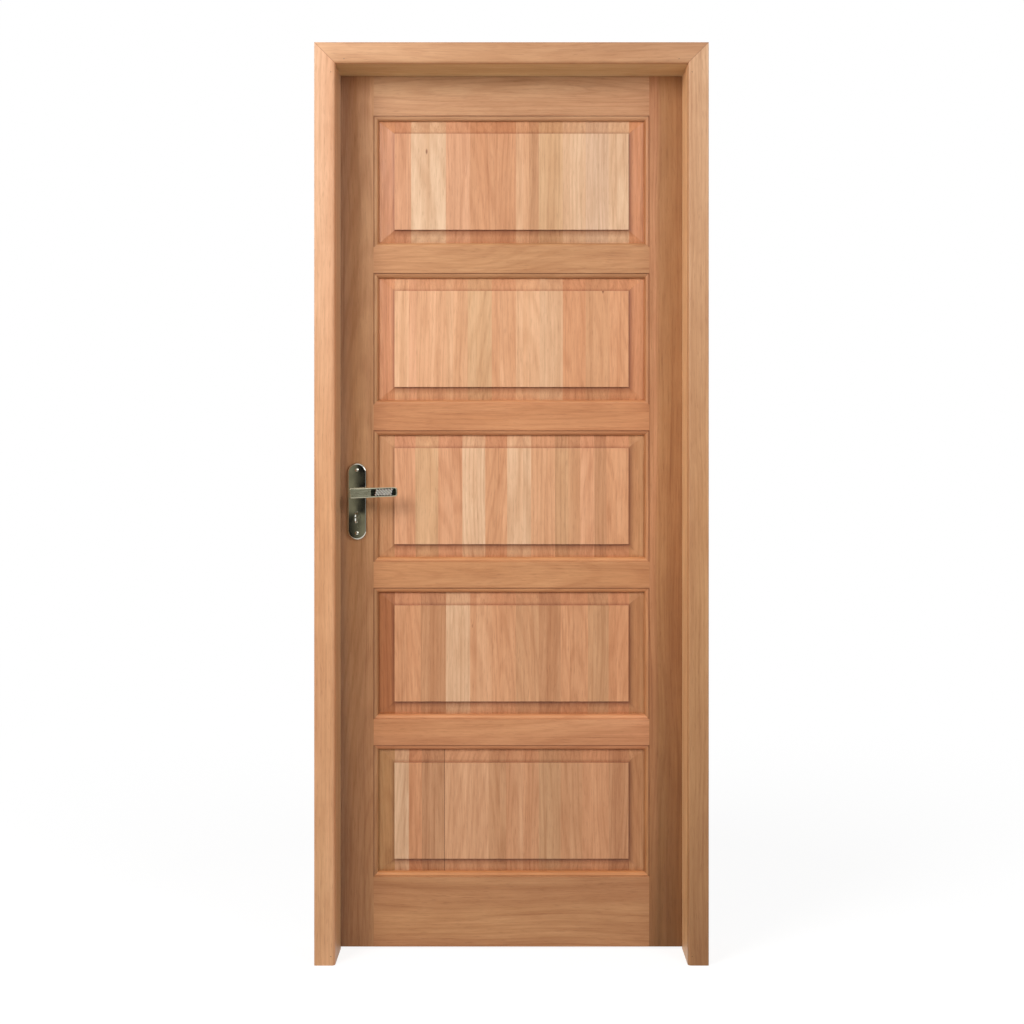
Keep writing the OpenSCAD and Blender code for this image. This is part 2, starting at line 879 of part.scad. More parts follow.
// The case: back sheet and four sides, open towards the cover
module lock_case() {
    y0 = leaf_mid_y - case_t / 2 + case_wall;
    y1 = leaf_mid_y + case_t / 2;
    color("slategray") {
        difference() {
            translate([case_x0, y0, case_z0])
                cube([case_depth, y1 - y0, case_z1 - case_z0]);
            translate([case_x0 + case_wall, y0 - cut, case_z0 + case_wall])
                cube([
                    case_depth - 2 * case_wall,
                    y1 - y0 - case_wall + cut,
                    case_z1 - case_z0 - 2 * case_wall
                ]);
            bolt_windows();
            bar_y(lever_x, lever_z, journal_r + pin_fit, y0 - cut, y1 + cut);
            cylinder_prism(y0 - cut, y1 + cut, bolt_fit);
            cylinder_screw_hole();
            case_rivet_bars(rivet_r + screw_fit);
        }
        translate([post_x, leaf_mid_y - spring_r, latch_z - arm_len / 4])
            cube([post_w, y1 - case_wall / 2 - leaf_mid_y + spring_r, arm_len / 4 + spring_r]);
    }
}

module lock_cover() {
    y0 = leaf_mid_y - case_t / 2;
    y1 = y0 + case_wall;
    color("slategray")
        difference() {
            translate([case_x0, y0, case_z0])
                cube([case_depth, case_wall, case_z1 - case_z0]);
            bar_y(lever_x, lever_z, journal_r + pin_fit, y0 - cut, y1 + cut);
            cylinder_prism(y0 - cut, y1 + cut, bolt_fit);
            case_rivet_bars(rivet_r + screw_fit);
        }
}

module case_rivet_bars(r) {
    for (place = [
        [case_x1 - rivet_inset, case_z0 + rivet_inset],
        [case_x1 - rivet_inset, case_z1 - rivet_inset],
        [case_x0 + rivet_inset, case_z0 + rivet_inset]
    ])
        bar_y(place[0], place[1], r, leaf_mid_y - case_t / 2, leaf_mid_y + case_t / 2);
}

module case_rivets() {
    color("lightgray") case_rivet_bars(rivet_r);
}

module forend() {
    color("lightgray")
        difference() {
            forend_bar(forend_t);
            bolt_windows();
            forend_screw_places() screw_hole(leaf_screw_len);
            cylinder_screw_hole();
        }
}

module forend_screws() {
    color("silver")
        forend_screw_places() screw(leaf_screw_len);
}

// The latch: a bevelled head, and a bar over the spring to the hook that the follower's arm pulls
module latch_bolt() {
    latch_top_z = latch_z + latch_h / 2;
    hook_x = lever_x + arm_r + arm_slack;
    tip_x = -edge_x - latch_throw;
    color("lightsteelblue") {
        difference() {
            translate([tip_x, leaf_mid_y - latch_t / 2, latch_z - latch_h / 2])
                cube([latch_back_x - tip_x, latch_t, latch_h]);
            translate([tip_x, leaf_mid_y - latch_t / 2, latch_z - latch_h / 2 - cut])
                linear_extrude(latch_h + 2 * cut)
                    polygon([
                        [-cut, -cut], [latch_throw, -cut], [latch_throw, 0],
                        [0, latch_t * 0.8], [-cut, latch_t * 0.8]
                    ]);
        }
        translate([latch_back_x - cut, leaf_mid_y - latch_bar_t / 2, latch_top_z - latch_bar_h])
            cube([hook_x + hook_w - latch_back_x + cut, latch_bar_t, latch_bar_h]);
        translate([hook_x, leaf_mid_y - latch_bar_t / 2, hook_foot_z])
            cube([hook_w, latch_bar_t, latch_top_z - hook_foot_z]);
    }
}

// A coil spring from the latch's head to the post in the case
module latch_spring() {
    sides = 6;
    per_turn = 14;
    steps = spring_turns * per_turn;
    length = post_x - latch_back_x - 2 * spring_wire_r;
    points = [for (i = [0:steps]) for (k = [0:sides - 1])
        let (
            turn = 360 * spring_turns * i / steps,
            out = spring_wire_r * cos(360 * k / sides),
            along = spring_wire_r * sin(360 * k / sides),
            radius = spring_r - spring_wire_r + out
        )
        [length * i / steps + along, radius * cos(turn), radius * sin(turn)]
    ];
    walls = [for (i = [0:steps - 1]) for (k = [0:sides - 1])
        let (next = (k + 1) % sides)
        [i * sides + k, i * sides + next, (i + 1) * sides + next, (i + 1) * sides + k]
    ];
    ends = [
        [for (k = [sides - 1:-1:0]) k],
        [for (k = [0:sides - 1]) steps * sides + k]
    ];
    color("gray")
        translate([latch_back_x + spring_wire_r, leaf_mid_y, latch_z])
            polyhedron(points = points, faces = concat(walls, ends), convexity = 4);
}

// The follower: a hub in the two sheets of the case, with the arm that draws the latch
module follower() {
    inside = case_t / 2 - case_wall - bolt_fit;
    hole = spindle_w + 2 * socket_fit;
    color("darkgray")
        difference() {
            union() {
                bar_y(lever_x, lever_z, hub_r, leaf_mid_y - inside, leaf_mid_y + inside);
                bar_y(lever_x, lever_z, journal_r, leaf_mid_y - case_t / 2, leaf_mid_y + case_t / 2);
                translate([lever_x - arm_r, leaf_mid_y - latch_bar_t / 2, lever_z])
                    cube([2 * arm_r, latch_bar_t, arm_len]);
                bar_y(lever_x, latch_z, arm_r, leaf_mid_y - latch_bar_t / 2, leaf_mid_y + latch_bar_t / 2);
            }
            translate([lever_x - hole / 2, leaf_mid_y - case_t, lever_z - hole / 2])
                cube([hole, 2 * case_t, hole]);
        }
}

// The dead bolt, drawn in, with the two legs that the cam's nose moves between
module dead_bolt() {
    foot_z = bolt_z - bolt_h / 2;
    leg_foot_z = key_z + cam_reach - leg_dip;
    legs_x = lever_x + bolt_throw / 2;
    back_x = legs_x + bolt_leg_half + bolt_leg_w;
    color("lightsteelblue") {
        translate([-edge_x, leaf_mid_y - bolt_t / 2, foot_z])
            cube([back_x + edge_x, bolt_t, bolt_h]);
        for (x = [legs_x - bolt_leg_half - bolt_leg_w, legs_x + bolt_leg_half])
            translate([x, leaf_mid_y - bolt_t / 2, leg_foot_z])
                cube([bolt_leg_w, bolt_t, foot_z - leg_foot_z + cut]);
    }
}

// Half section of an oblong plate with a rounded rim: x from its middle, y from the leaf
module rim_section(half, height, rim) {
    difference() {
        square([half, height]);
        translate([half, height]) corner_waste(rim);
    }
}

// An oblong plate with round ends, long along y, its back on z = 0
module oblong(width, length, height, rim) {
    half = width / 2;
    reach = length / 2 - half;
    for (side = [-1, 1])
        translate([0, side * reach, 0])
            rotate_extrude() rim_section(half, height, rim);
    rotate([90, 0, 0])
        linear_extrude(2 * reach, center = true)
            for (side = [0, 1])
                mirror([side, 0]) rim_section(half, height, rim);
}

module plate_screw_places() {
    for (z = plate_screw_z) {
        translate([lever_x, leaf_front_y - plate_t, z])
            rotate([-90, 0, 0]) children();
        translate([lever_x, leaf_back_y + plate_t, z])
            rotate([90, 0, 0]) children();
    }
}

// A pressed handle plate on the leaf's front, hollow behind, with seats for its screws and bush
module handle_plate() {
    bush_r = neck_r + bush_wall;
    seat_r = screw_head_r + plate_wall;
    seat_y = leaf_front_y - plate_t + plate_wall / 2;
    color("lightslategray")
        difference() {
            union() {
                translate([lever_x, leaf_front_y, plate_z])
                    rotate([90, 0, 0])
                        difference() {
                            oblong(plate_w, plate_h, plate_t, plate_rim_r);
                            translate([0, 0, -cut])
                                oblong(
                                    plate_w - 2 * plate_wall,
                                    plate_h - 2 * plate_wall,
                                    plate_t - plate_wall + cut,
                                    plate_rim_r - plate_wall
                                );
                        }
                for (z = plate_screw_z)
                    bar_y(lever_x, z, seat_r, seat_y, leaf_front_y);
                bar_y(lever_x, lever_z, bush_r + plate_wall, seat_y, leaf_front_y);
            }
            plate_screw_places() screw_hole(plate_screw_len);
            bar_y(lever_x, lever_z, bush_r, leaf_front_y - plate_t - cut, leaf_front_y + cut);
            cylinder_prism(leaf_front_y - plate_t - cut, leaf_front_y + cut, bolt_fit);
        }
}

module front_plate() {
    handle_plate();
}

module rear_plate() {
    rear_side() handle_plate();
}

module plate_screws() {
    color("silver")
        plate_screw_places() screw(plate_screw_len, dome = plate_screw_dome);
}

// The bush that the lever's neck turns in, with a lip over the plate
module lever_bush() {
    lip_y = leaf_front_y - plate_t;
    difference() {
        union() {
            bar_y(lever_x, lever_z, neck_r + bush_wall, lip_y, leaf_front_y);
            bar_y(lever_x, lever_z, neck_r + bush_wall + bush_lip, lip_y - bush_lip, lip_y);
        }
        bar_y(lever_x, lever_z, neck_r + pin_fit, lip_y - bush_lip - cut, leaf_front_y + cut);
    }
}

module lever_bushes() {
    color("dimgray") {
        lever_bush();
        rear_side() lever_bush();
    }
}

// A disc on the lever's outline, x and z from the axis, with rounded edges front and back
module lever_disc(x, z, r, thickness) {
    translate([x, 0, z])
        rotate([90, 0, 0])
            rotate_extrude($fn = 32)
                difference() {
                    translate([0, -thickness / 2]) square([r, thickness]);
                    for (side = [0, 1])
                        mirror([0, side]) translate([r, thickness / 2]) corner_waste(lever_edge_r);
                }
}

// What the lever's recesses are cut to: a strip with rounded corners at the tip
module recess_field() {
    half = tip_h / 2 - lever_rim;
    r = tip_r - lever_rim;
    end = lever_len - lever_rim;
    translate([0, -half]) square([end - r, 2 * half]);
    translate([0, r - half]) square([end, 2 * half - 2 * r]);
    for (side = [-1, 1])
        translate([end - r, side * (half - r)]) circle(r);
}

// The two recesses in the lever's front, with the textured grip left between their slanted ends
module lever_recesses() {
    half = tip_h / 2;
    grip_x = recess_from + recess_w + recess_slant / 2;
    depth = recess_d + (lever_t - tip_t) / 2;
    translate([0, depth - lever_t / 2, 0])
        rotate([90, 0, 0])
            linear_extrude(depth + cut)
                intersection() {
                    recess_field();
                    difference() {
                        translate([recess_from, -half]) square([lever_len, 2 * half]);
                        polygon([
                            [grip_x - recess_slant / 2, -half],
                            [grip_x - recess_slant / 2 + grip_len, -half],
                            [grip_x + recess_slant / 2 + grip_len, half],
                            [grip_x + recess_slant / 2, half]
                        ]);
                    }
                }
}

// The lever on the leaf's front: a round neck on the spindle and a flat tapering bar
module lever() {
    corner_r = lever_edge_r + 1;
    bar_mid_y = leaf_front_y - lever_reach + lever_t / 2;
    hole = spindle_w + 2 * socket_fit;
    color("silver")
        difference() {
            union() {
                translate([lever_x, bar_mid_y, lever_z])
                    rotate([0, -lever_tilt, 0])
                        difference() {
                            hull()
                                for (side = [-1, 1]) {
                                    back_z = side * (lever_h / 2 - corner_r);
                                    tip_z = side * (tip_h / 2 - tip_r);
                                    lever_disc(corner_r - lever_back, back_z, corner_r, lever_t);
                                    lever_disc(lever_len - tip_r, tip_z, tip_r, tip_t);
                                }
                            lever_recesses();
                        }
                bar_y(lever_x, lever_z, neck_r, bar_mid_y, leaf_front_y - neck_from);
            }
            translate([lever_x - hole / 2, leaf_front_y - socket_depth, lever_z - hole / 2])
                cube([hole, socket_depth, hole]);
            set_screw(neck_r + cut, set_screw_r + socket_fit);
        }
}

// The grub screw that holds the lever on the spindle, from below
module set_screw(from, r) {
    translate([lever_x, leaf_front_y - set_screw_y, lever_z - from])
        cylinder(h = from - spindle_w / 2, r = r);
}

module front_lever() {
    lever();
}

module rear_lever() {
    rear_side() lever();
}

module lever_set_screws() {
    color("dimgray") {
        set_screw(neck_r - socket_fit, set_screw_r);
        rear_side() set_screw(neck_r - socket_fit, set_screw_r);
    }
}

module spindle() {
    half = leaf_t / 2 + socket_depth - 1;
    color("gray")
        translate([lever_x - spindle_w / 2, leaf_mid_y - half, lever_z - spindle_w / 2])
            cube([spindle_w, 2 * half, spindle_w]);
}

module cylinder_body() {
    half = cam_w / 2 + cam_fit;
    color("gainsboro")
        difference() {
            cylinder_prism(cylinder_y0, cylinder_y1);
            bar_y(lever_x, key_z, plug_r + plug_fit, cylinder_y0 - cut, cylinder_y1 + cut);
            bar_y(lever_x, key_z, cam_reach + 4 * cam_fit, leaf_mid_y - half, leaf_mid_y + half);
            cylinder_screw_hole();
        }
}

module cylinder_screw() {
    color("silver")
        translate([-edge_x, leaf_mid_y, cylinder_screw_z])
            rotate([0, 90, 0])
                screw(backset + lobe_w / 4, 2 * cylinder_screw_r, cylinder_screw_r);
}

// A plug with its keyway, in the front half of the cylinder, gap short of the cam
module plug(gap) {
    way_w = key_t + 2 * keyway_fit;
    way_h = key_blade_h + 2 * keyway_fit;
    color("khaki")
        difference() {
            bar_y(lever_x, key_z, plug_r, cylinder_y0, leaf_mid_y - cam_w / 2 - gap);
            translate([lever_x - way_w / 2, cylinder_y0 - cut, key_z - way_h / 2])
                cube([way_w, key_depth + 2 * cut, way_h]);
        }
}

module front_plug() {
    plug(0);
}

module rear_plug() {
    rear_side() plug(cam_fit);
}

// The cam between the two plugs, its nose hanging in the slot of the cylinder
module cylinder_cam() {
    half = cam_w / 2;
    nose_r = cam_nose_w / 2;
    color("darkgray") {
        bar_y(lever_x, key_z, plug_r, leaf_mid_y - half, leaf_mid_y + half);
        translate([lever_x - nose_r, leaf_mid_y - half, key_z - cam_reach + nose_r])
            cube([cam_nose_w, cam_w, cam_reach - nose_r]);
        bar_y(lever_x, key_z - cam_reach + nose_r, nose_r, leaf_mid_y - half, leaf_mid_y + half);
    }
}

// The key in the front plug: a flat blade, and a round bow with a hole, edge-on to the front
module key() {
    bow_r = bow_w / 2;
    bow_y = cylinder_y0 - bow_r - 1;
    color("silver")
        translate([lever_x - key_t / 2, 0, key_z])
            difference() {
                union() {
                    translate([0, bow_y, -key_blade_h / 2])
                        cube([key_t, key_depth + bow_r, key_blade_h]);
                    translate([0, bow_y, 0])
                        rotate([0, 90, 0])
                            cylinder(h = key_t, r = bow_r);
                }
                translate([-cut, bow_y - bow_r / 2, 0])
                    rotate([0, 90, 0])
                        cylinder(h = key_t + 2 * cut, r = bow_hole_r);
            }
}

lock_jamb();
hinge_jamb();
head_jamb();
frame_screws();
lock_side_casing();
hinge_side_casing();
head_casing();
casing_nails();
strike_plate();
strike_screws();
lock_stile();
hinge_stile();
top_rail();
cross_rail(1);  // cross_rail_1
cross_rail(2);  // cross_rail_2
cross_rail(3);  // cross_rail_3
cross_rail(4);  // cross_rail_4
bottom_rail();
raised_panel(1);  // panel_1
raised_panel(2);  // panel_2
raised_panel(3);  // panel_3
raised_panel(4);  // panel_4
raised_panel(5);  // panel_5
dowels();
hinge_leaf(HINGE_Z[0], 1);  // top_hinge_frame_plate
hinge_leaf(HINGE_Z[0], -1);  // top_hinge_leaf_plate
hinge_pin(HINGE_Z[0]);  // top_hinge_pin
hinge_leaf(HINGE_Z[1], 1);  // middle_hinge_frame_plate
hinge_leaf(HINGE_Z[1], -1);  // middle_hinge_leaf_plate
hinge_pin(HINGE_Z[1]);  // middle_hinge_pin
hinge_leaf(HINGE_Z[2], 1);  // bottom_hinge_frame_plate
hinge_leaf(HINGE_Z[2], -1);  // bottom_hinge_leaf_plate
hinge_pin(HINGE_Z[2]);  // bottom_hinge_pin
hinge_jamb_screws();
hinge_leaf_screws();
lock_case();
lock_cover();
case_rivets();
forend();
forend_screws();
latch_bolt();
latch_spring();
follower();
dead_bolt();
front_plate();
rear_plate();
plate_screws();
lever_bushes();
front_lever();
rear_lever();
spindle();
lever_set_screws();
cylinder_body();
cylinder_screw();
front_plug();
rear_plug();
cylinder_cam();
key();
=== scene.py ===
# %% [markdown]
# # A prehung panel door
# This lesson dresses a finished CAD model of a wooden door in its frame. The joinery, the lock and
# the hinges come from the CAD file and stay as they are. What is left for Blender is the look:
# boards cut from different planks, glued staves, plated metal, a little light and a camera. The
# look could be a picture pasted on the model. Nodes are used instead, because they stay sharp from
# close by and hold under any light.

# %% Load the CAD model
import math

import bmesh
import bpy
from mathutils import Matrix, Vector


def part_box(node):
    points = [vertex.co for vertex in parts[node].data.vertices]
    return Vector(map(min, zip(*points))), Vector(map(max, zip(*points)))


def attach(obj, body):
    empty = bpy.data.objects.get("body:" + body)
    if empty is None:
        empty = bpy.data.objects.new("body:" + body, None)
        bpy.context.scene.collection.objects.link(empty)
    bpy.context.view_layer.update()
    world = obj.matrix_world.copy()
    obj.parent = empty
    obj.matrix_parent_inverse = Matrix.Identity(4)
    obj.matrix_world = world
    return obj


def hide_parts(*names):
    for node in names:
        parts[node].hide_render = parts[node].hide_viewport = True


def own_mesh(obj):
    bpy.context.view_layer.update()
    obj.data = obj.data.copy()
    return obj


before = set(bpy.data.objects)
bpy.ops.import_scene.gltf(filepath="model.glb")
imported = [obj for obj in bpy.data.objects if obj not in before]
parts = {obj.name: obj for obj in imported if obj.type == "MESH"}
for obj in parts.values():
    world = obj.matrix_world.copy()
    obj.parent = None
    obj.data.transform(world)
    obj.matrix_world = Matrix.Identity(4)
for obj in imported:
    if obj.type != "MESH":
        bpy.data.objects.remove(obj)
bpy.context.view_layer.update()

# %% [markdown]
# ## Camera
# A catalogue picture of a door is taken straight on, with the camera level so that the uprights
# stay upright. The lens stands a little above the door's middle, so the picture is shifted down
# on the sensor and not tilted: tilting would make the jambs lean. The shift is kept small, because
# views from other sides keep it too, and a large one would push the door's head out of them.

# %% Camera
LENS_PLACE = (0.0, -3.153, 1.115)
PICTURE_SHIFT = (0.0005, -0.05)


def into_scene(name, data):
    made = bpy.data.objects.new(name, data)
    bpy.context.collection.objects.link(made)
    return made


camera_data = bpy.data.cameras.new("catalogue_camera")
camera_data.lens = 50
camera_data.sensor_width = 36
camera_data.shift_x, camera_data.shift_y = PICTURE_SHIFT
camera = into_scene("catalogue_camera", camera_data)
camera.location = LENS_PLACE
camera.rotation_euler = (math.radians(90), 0, 0)
bpy.context.scene.camera = camera
print("camera", -LENS_PLACE[1], "m in front, lens at", LENS_PLACE[2], "m")

# %% [markdown]
# ## Node helpers
# A shader is a chain of small nodes. They could be laid out by hand in the editor. In a script
# every link has to be named, so a few helpers keep the chains readable. One adds a node and sets
# its properties, one feeds a socket with a number or with another node's output, one does a single
# sum and one repeats a sum along a list. The last two stretch a range and blend two colours.

# %% Node helpers
# a Mix node keeps its colour sockets behind those for numbers and vectors
FIRST_COLOUR, SECOND_COLOUR, MIXED_COLOUR = 6, 7, 2


def put(tree, kind, **settings):
    node = tree.nodes.new(kind)
    for name, value in settings.items():
        setattr(node, name, value)
    return node


def feed(tree, socket, value):
    if isinstance(value, bpy.types.NodeSocket):
        tree.links.new(value, socket)
    else:
        socket.default_value = value


def sum_of(tree, operation, *values):
    node = put(tree, "ShaderNodeMath", operation=operation)
    for socket, value in zip(node.inputs, values):
        feed(tree, socket, value)
    return node.outputs[0]


def chain(tree, operation, first, *others):
    for other in others:
        first = sum_of(tree, operation, first, other)
    return first


def stretch(tree, value, low, high, to_low=0.0, to_high=1.0):
    node = put(tree, "ShaderNodeMapRange")
    for socket, number in zip(node.inputs, (value, low, high, to_low, to_high)):
        feed(tree, socket, number)
    return node.outputs[0]


def blend_colours(tree, share, first, second, how="MIX"):
    node = put(tree, "ShaderNodeMix", data_type="RGBA", blend_type=how)
    feed(tree, node.inputs[0], share)
    feed(tree, node.inputs[FIRST_COLOUR], first)
    feed(tree, node.inputs[SECOND_COLOUR], second)
    return node.outputs[MIXED_COLOUR]


print("node helpers ready; colours blend on sockets", FIRST_COLOUR, "and", SECOND_COLOUR)

# %% [markdown]
# ## Pattern helpers
# A pattern is read at a place on the piece, in the piece's own coordinates, so that it moves with
# the piece. Noise is drawn out into fibres by squeezing the place first: a small factor along the
# grain gives long marks. Colours are written as they look on screen and changed to linear light.

# %% Pattern helpers
def place_on(tree, kind="Object"):
    return put(tree, "ShaderNodeTexCoord").outputs[kind]


def axes_of(tree, vector):
    node = put(tree, "ShaderNodeSeparateXYZ")
    feed(tree, node.inputs[0], vector)
    return node.outputs["X"], node.outputs["Y"], node.outputs["Z"]


def vector_sum(tree, operation, first, second):
    node = put(tree, "ShaderNodeVectorMath", operation=operation)
    feed(tree, node.inputs[0], first)
    feed(tree, node.inputs[1], second)
    return node.outputs[0]


def noise(tree, place, factors, detail=2.0, roughness=0.5):
    node = put(tree, "ShaderNodeTexNoise")
    feed(tree, node.inputs["Vector"], vector_sum(tree, "MULTIPLY", place, factors))
    node.inputs["Scale"].default_value = 1.0
    node.inputs["Detail"].default_value = detail
    node.inputs["Roughness"].default_value = roughness
    return node.outputs


def shade(red, green, blue):
    def linear(v):
        v = v / 255
        return v / 12.92 if v < 0.04045 else ((v + 0.055) / 1.055) ** 2.4
    return (linear(red), linear(green), linear(blue), 1.0)


print("a mid oak tone in linear light is", [round(v, 3) for v in shade(200, 145, 105)])

# %% [markdown]
# ## Groups and materials
# An effect that several finishes share could be copied into each material. A node group is built
# once instead and placed wherever it is needed, so a change to it reaches every board. These
# helpers make a group with named sockets, place one, start a material, and dress CAD pieces in it.

# %% Group and material helpers
def new_group(name, inputs, outputs, kind="ShaderNodeTree"):
    tree = bpy.data.node_groups.new(name, kind)
    for side, sockets in (("INPUT", inputs), ("OUTPUT", outputs)):
        for socket, value in sockets.items():
            tree.interface.new_socket(socket, in_out=side, socket_type="NodeSocket" + value)
    return tree, put(tree, "NodeGroupInput").outputs, put(tree, "NodeGroupOutput").inputs


def place_group(tree, group, **values):
    node = put(tree, "ShaderNodeGroup", node_tree=group)
    for name, value in values.items():
        feed(tree, node.inputs[name], value)
    return node.outputs


def new_material(name):
    material = bpy.data.materials.new(name)
    material.use_nodes = True
    return material, material.node_tree, material.node_tree.nodes["Principled BSDF"]


def dress(material, *names):
    for name in names:
        for slot in parts[name].material_slots:
            slot.material = material


print("pieces to dress:", len(parts))

# %% [markdown]
# ## Growth rings
# A tree grows a ring each year, and a saw cuts through the rings at an angle. A wave texture could
# stand for them, but it draws even stripes. Here they are real rings round a pith that leans a
# little, so where the board's face cuts them they draw straight lines or pointed arches, as in
# sawn timber. The board's seed moves the pith and tips it.

# %% Growth rings
RING_PITCH = 0.0095
# how fast the seed moves the pith, how far, and from where
PITH_ASIDE, PITH_LEAN, PITH_DEPTH = (12.9, 0.04), (5.1, 0.09), (7.3, 0.05, 0.03)


def growth_rings(tree, place, seed):
    def by_seed(speed, reach, middle=0.0):
        swing = sum_of(tree, "SINE", sum_of(tree, "MULTIPLY", seed, speed))
        return sum_of(tree, "MULTIPLY_ADD", swing, reach, middle)

    x, y, z = axes_of(tree, place)
    across = sum_of(tree, "SUBTRACT", x, by_seed(*PITH_ASIDE))
    lean = sum_of(tree, "MULTIPLY", z, by_seed(*PITH_LEAN))
    deep = sum_of(tree, "ADD", sum_of(tree, "SUBTRACT", y, by_seed(*PITH_DEPTH)), lean)
    squares = [sum_of(tree, "MULTIPLY", side, side) for side in (across, deep)]
    radius = sum_of(tree, "SQRT", sum_of(tree, "ADD", *squares))
    return sum_of(tree, "SINE", sum_of(tree, "MULTIPLY", radius, 2 * math.pi / RING_PITCH))


print("growth rings", RING_PITCH * 1000, "mm apart")

# %% [markdown]
# ## Wood figure
# Fibres, open pores, clouds of tone and small knots are the same in every board; only the plank
# differs. So the figure is one node group that every board shares. Its Z runs along the board.
# Most of it is noise squeezed long in Z, which a slow drift bends a little, as fibres bend. Seed
# steps to another plank.

# %% Wood figure group
NEXT_PLANK = (0.713, 0.391, 1.97)
SWAY_SQUEEZE, SWAY_MIDDLE, DRIFT = (9.0, 9.0, 2.2), (-0.5, -0.5, -0.5), (0.03, 0.03, 0.0)
KNOT_SQUEEZE, KNOT_EDGE, KNOT_HEART = (9.0, 9.0, 3.4), 0.028, 0.014
# squeeze across, through and along the board, detail, roughness, and the range that becomes 0 to 1
FIGURE_NOISE = {
    "Growth": ((32.0, 24.0, 1.0), 3.0, 0.5, 0.37, 0.63),
    "Lines": ((150.0, 90.0, 1.4), 2.0, 0.55, 0.46, 0.68),
    "Veins": ((150.0, 90.0, 1.4), 2.0, 0.55, 0.62, 0.72),
    "Cloud": ((30.0, 30.0, 8.0), 3.0, 0.6, 0.34, 0.66),
    "Fibre": ((300.0, 300.0, 9.0), 3.0, 0.6, 0.32, 0.68),
    "Pores": ((620.0, 620.0, 40.0), 1.0, 0.5, 0.58, 0.72),
    "Streak": ((11.0, 11.0, 0.4), 2.0, 0.5, 0.4, 0.62),
}


def make_wood_figure():
    marks = dict.fromkeys(("Rings", *FIGURE_NOISE, "Knots"), "Float")
    tree, given, result = new_group("wood_figure", {"Vector": "Vector", "Seed": "Float"}, marks)
    plank = put(tree, "ShaderNodeCombineXYZ")
    for axis, step in zip(plank.inputs, NEXT_PLANK):
        feed(tree, axis, sum_of(tree, "MULTIPLY", given["Seed"], step))
    board = vector_sum(tree, "ADD", given["Vector"], plank.outputs[0])
    sway = vector_sum(tree, "ADD", noise(tree, board, SWAY_SQUEEZE, 1.0)["Color"], SWAY_MIDDLE)
    drift = vector_sum(tree, "MULTIPLY", sway, DRIFT)
    grain = vector_sum(tree, "ADD", board, drift)
    rings = growth_rings(tree, vector_sum(tree, "ADD", given["Vector"], drift), given["Seed"])
    tree.links.new(stretch(tree, rings, 0.1, 1.0), result["Rings"])
    drawn = {}
    for name, (factors, detail, roughness, low, high) in FIGURE_NOISE.items():
        if factors not in drawn:
            drawn[factors] = noise(tree, grain, factors, detail, roughness)["Fac"]
        tree.links.new(stretch(tree, drawn[factors], low, high), result[name])
    knots = put(tree, "ShaderNodeTexVoronoi")
    feed(tree, knots.inputs["Vector"], vector_sum(tree, "MULTIPLY", board, KNOT_SQUEEZE))
    knots.inputs["Scale"].default_value = 1.0
    tree.links.new(stretch(tree, knots.outputs["Distance"], KNOT_EDGE, KNOT_HEART), result["Knots"])
    return tree


wood_figure = make_wood_figure()
print("wood figure group has", len(wood_figure.nodes), "nodes")

# %% [markdown]
# ## Sanded and moulded faces
# A cutter leaves the panel bevels another shade than the sanded flats, and on some boards the
# mouldings are painted brighter, a painted highlight where the lamps catch them. Those faces could
# get a material slot of their own, but the CAD mesh stays as it is. So a group finds them by how
# they are turned: on a flat face the object's own normal points straight through the leaf. It gives
# a mask and leaves the colour to each material.

# %% Moulded face group
FLAT_FACE, MOULDED_FACE = 0.998, 0.990


def make_moulded_faces():
    tree, given, result = new_group("moulded_faces", {"Normal": "Vector"}, {"Mask": "Float"})
    _, through, _ = axes_of(tree, given["Normal"])
    facing = sum_of(tree, "ABSOLUTE", through)
    tree.links.new(stretch(tree, facing, FLAT_FACE, MOULDED_FACE), result["Mask"])
    return tree


moulded_faces = make_moulded_faces()
print("moulded faces group has", len(moulded_faces.nodes), "nodes")

# %% [markdown]
# ## Measuring to the joints
# The five panel openings are alike and stand one above the other at one pitch. Each could have its
# own mask, but it is shorter to fold the heights, so that all five openings fall onto one, and to
# measure there how far a point lies past the edge of a rectangle. The second result says whether
# the nearest edge is a level one. A line is then a narrow range of that distance.

# %% Distances on the leaf
OPENINGS, OPENING_PITCH, OPENING_FOOT = 5, 0.360, 0.164
OPENING_HALF, OPENING_HEIGHT = 0.315, 0.300
LINE_CORE = 0.3


def fold_openings(tree, z):
    rail = (OPENING_PITCH - OPENING_HEIGHT) / 2
    top = OPENING_FOOT + OPENINGS * OPENING_PITCH - rail - 0.001
    kept = sum_of(tree, "MINIMUM", sum_of(tree, "MAXIMUM", z, OPENING_FOOT - rail), top)
    from_foot = sum_of(tree, "SUBTRACT", kept, OPENING_FOOT)
    folded = sum_of(tree, "WRAP", from_foot, OPENING_PITCH - rail, -rail)
    return sum_of(tree, "SUBTRACT", folded, OPENING_HEIGHT / 2)


def past_edge(tree, side, height, half_width, half_height):
    past_side = sum_of(tree, "SUBTRACT", side, half_width)
    past_end = sum_of(tree, "SUBTRACT", height, half_height)
    level = sum_of(tree, "GREATER_THAN", past_end, past_side)
    return sum_of(tree, "MAXIMUM", past_side, past_end), level


def line_at(tree, distance, place, width):
    away = sum_of(tree, "ABSOLUTE", sum_of(tree, "SUBTRACT", distance, place))
    return stretch(tree, away, width, width * LINE_CORE)


print("openings folded onto one:", OPENINGS, "every", round(OPENING_PITCH * 1000), "mm")
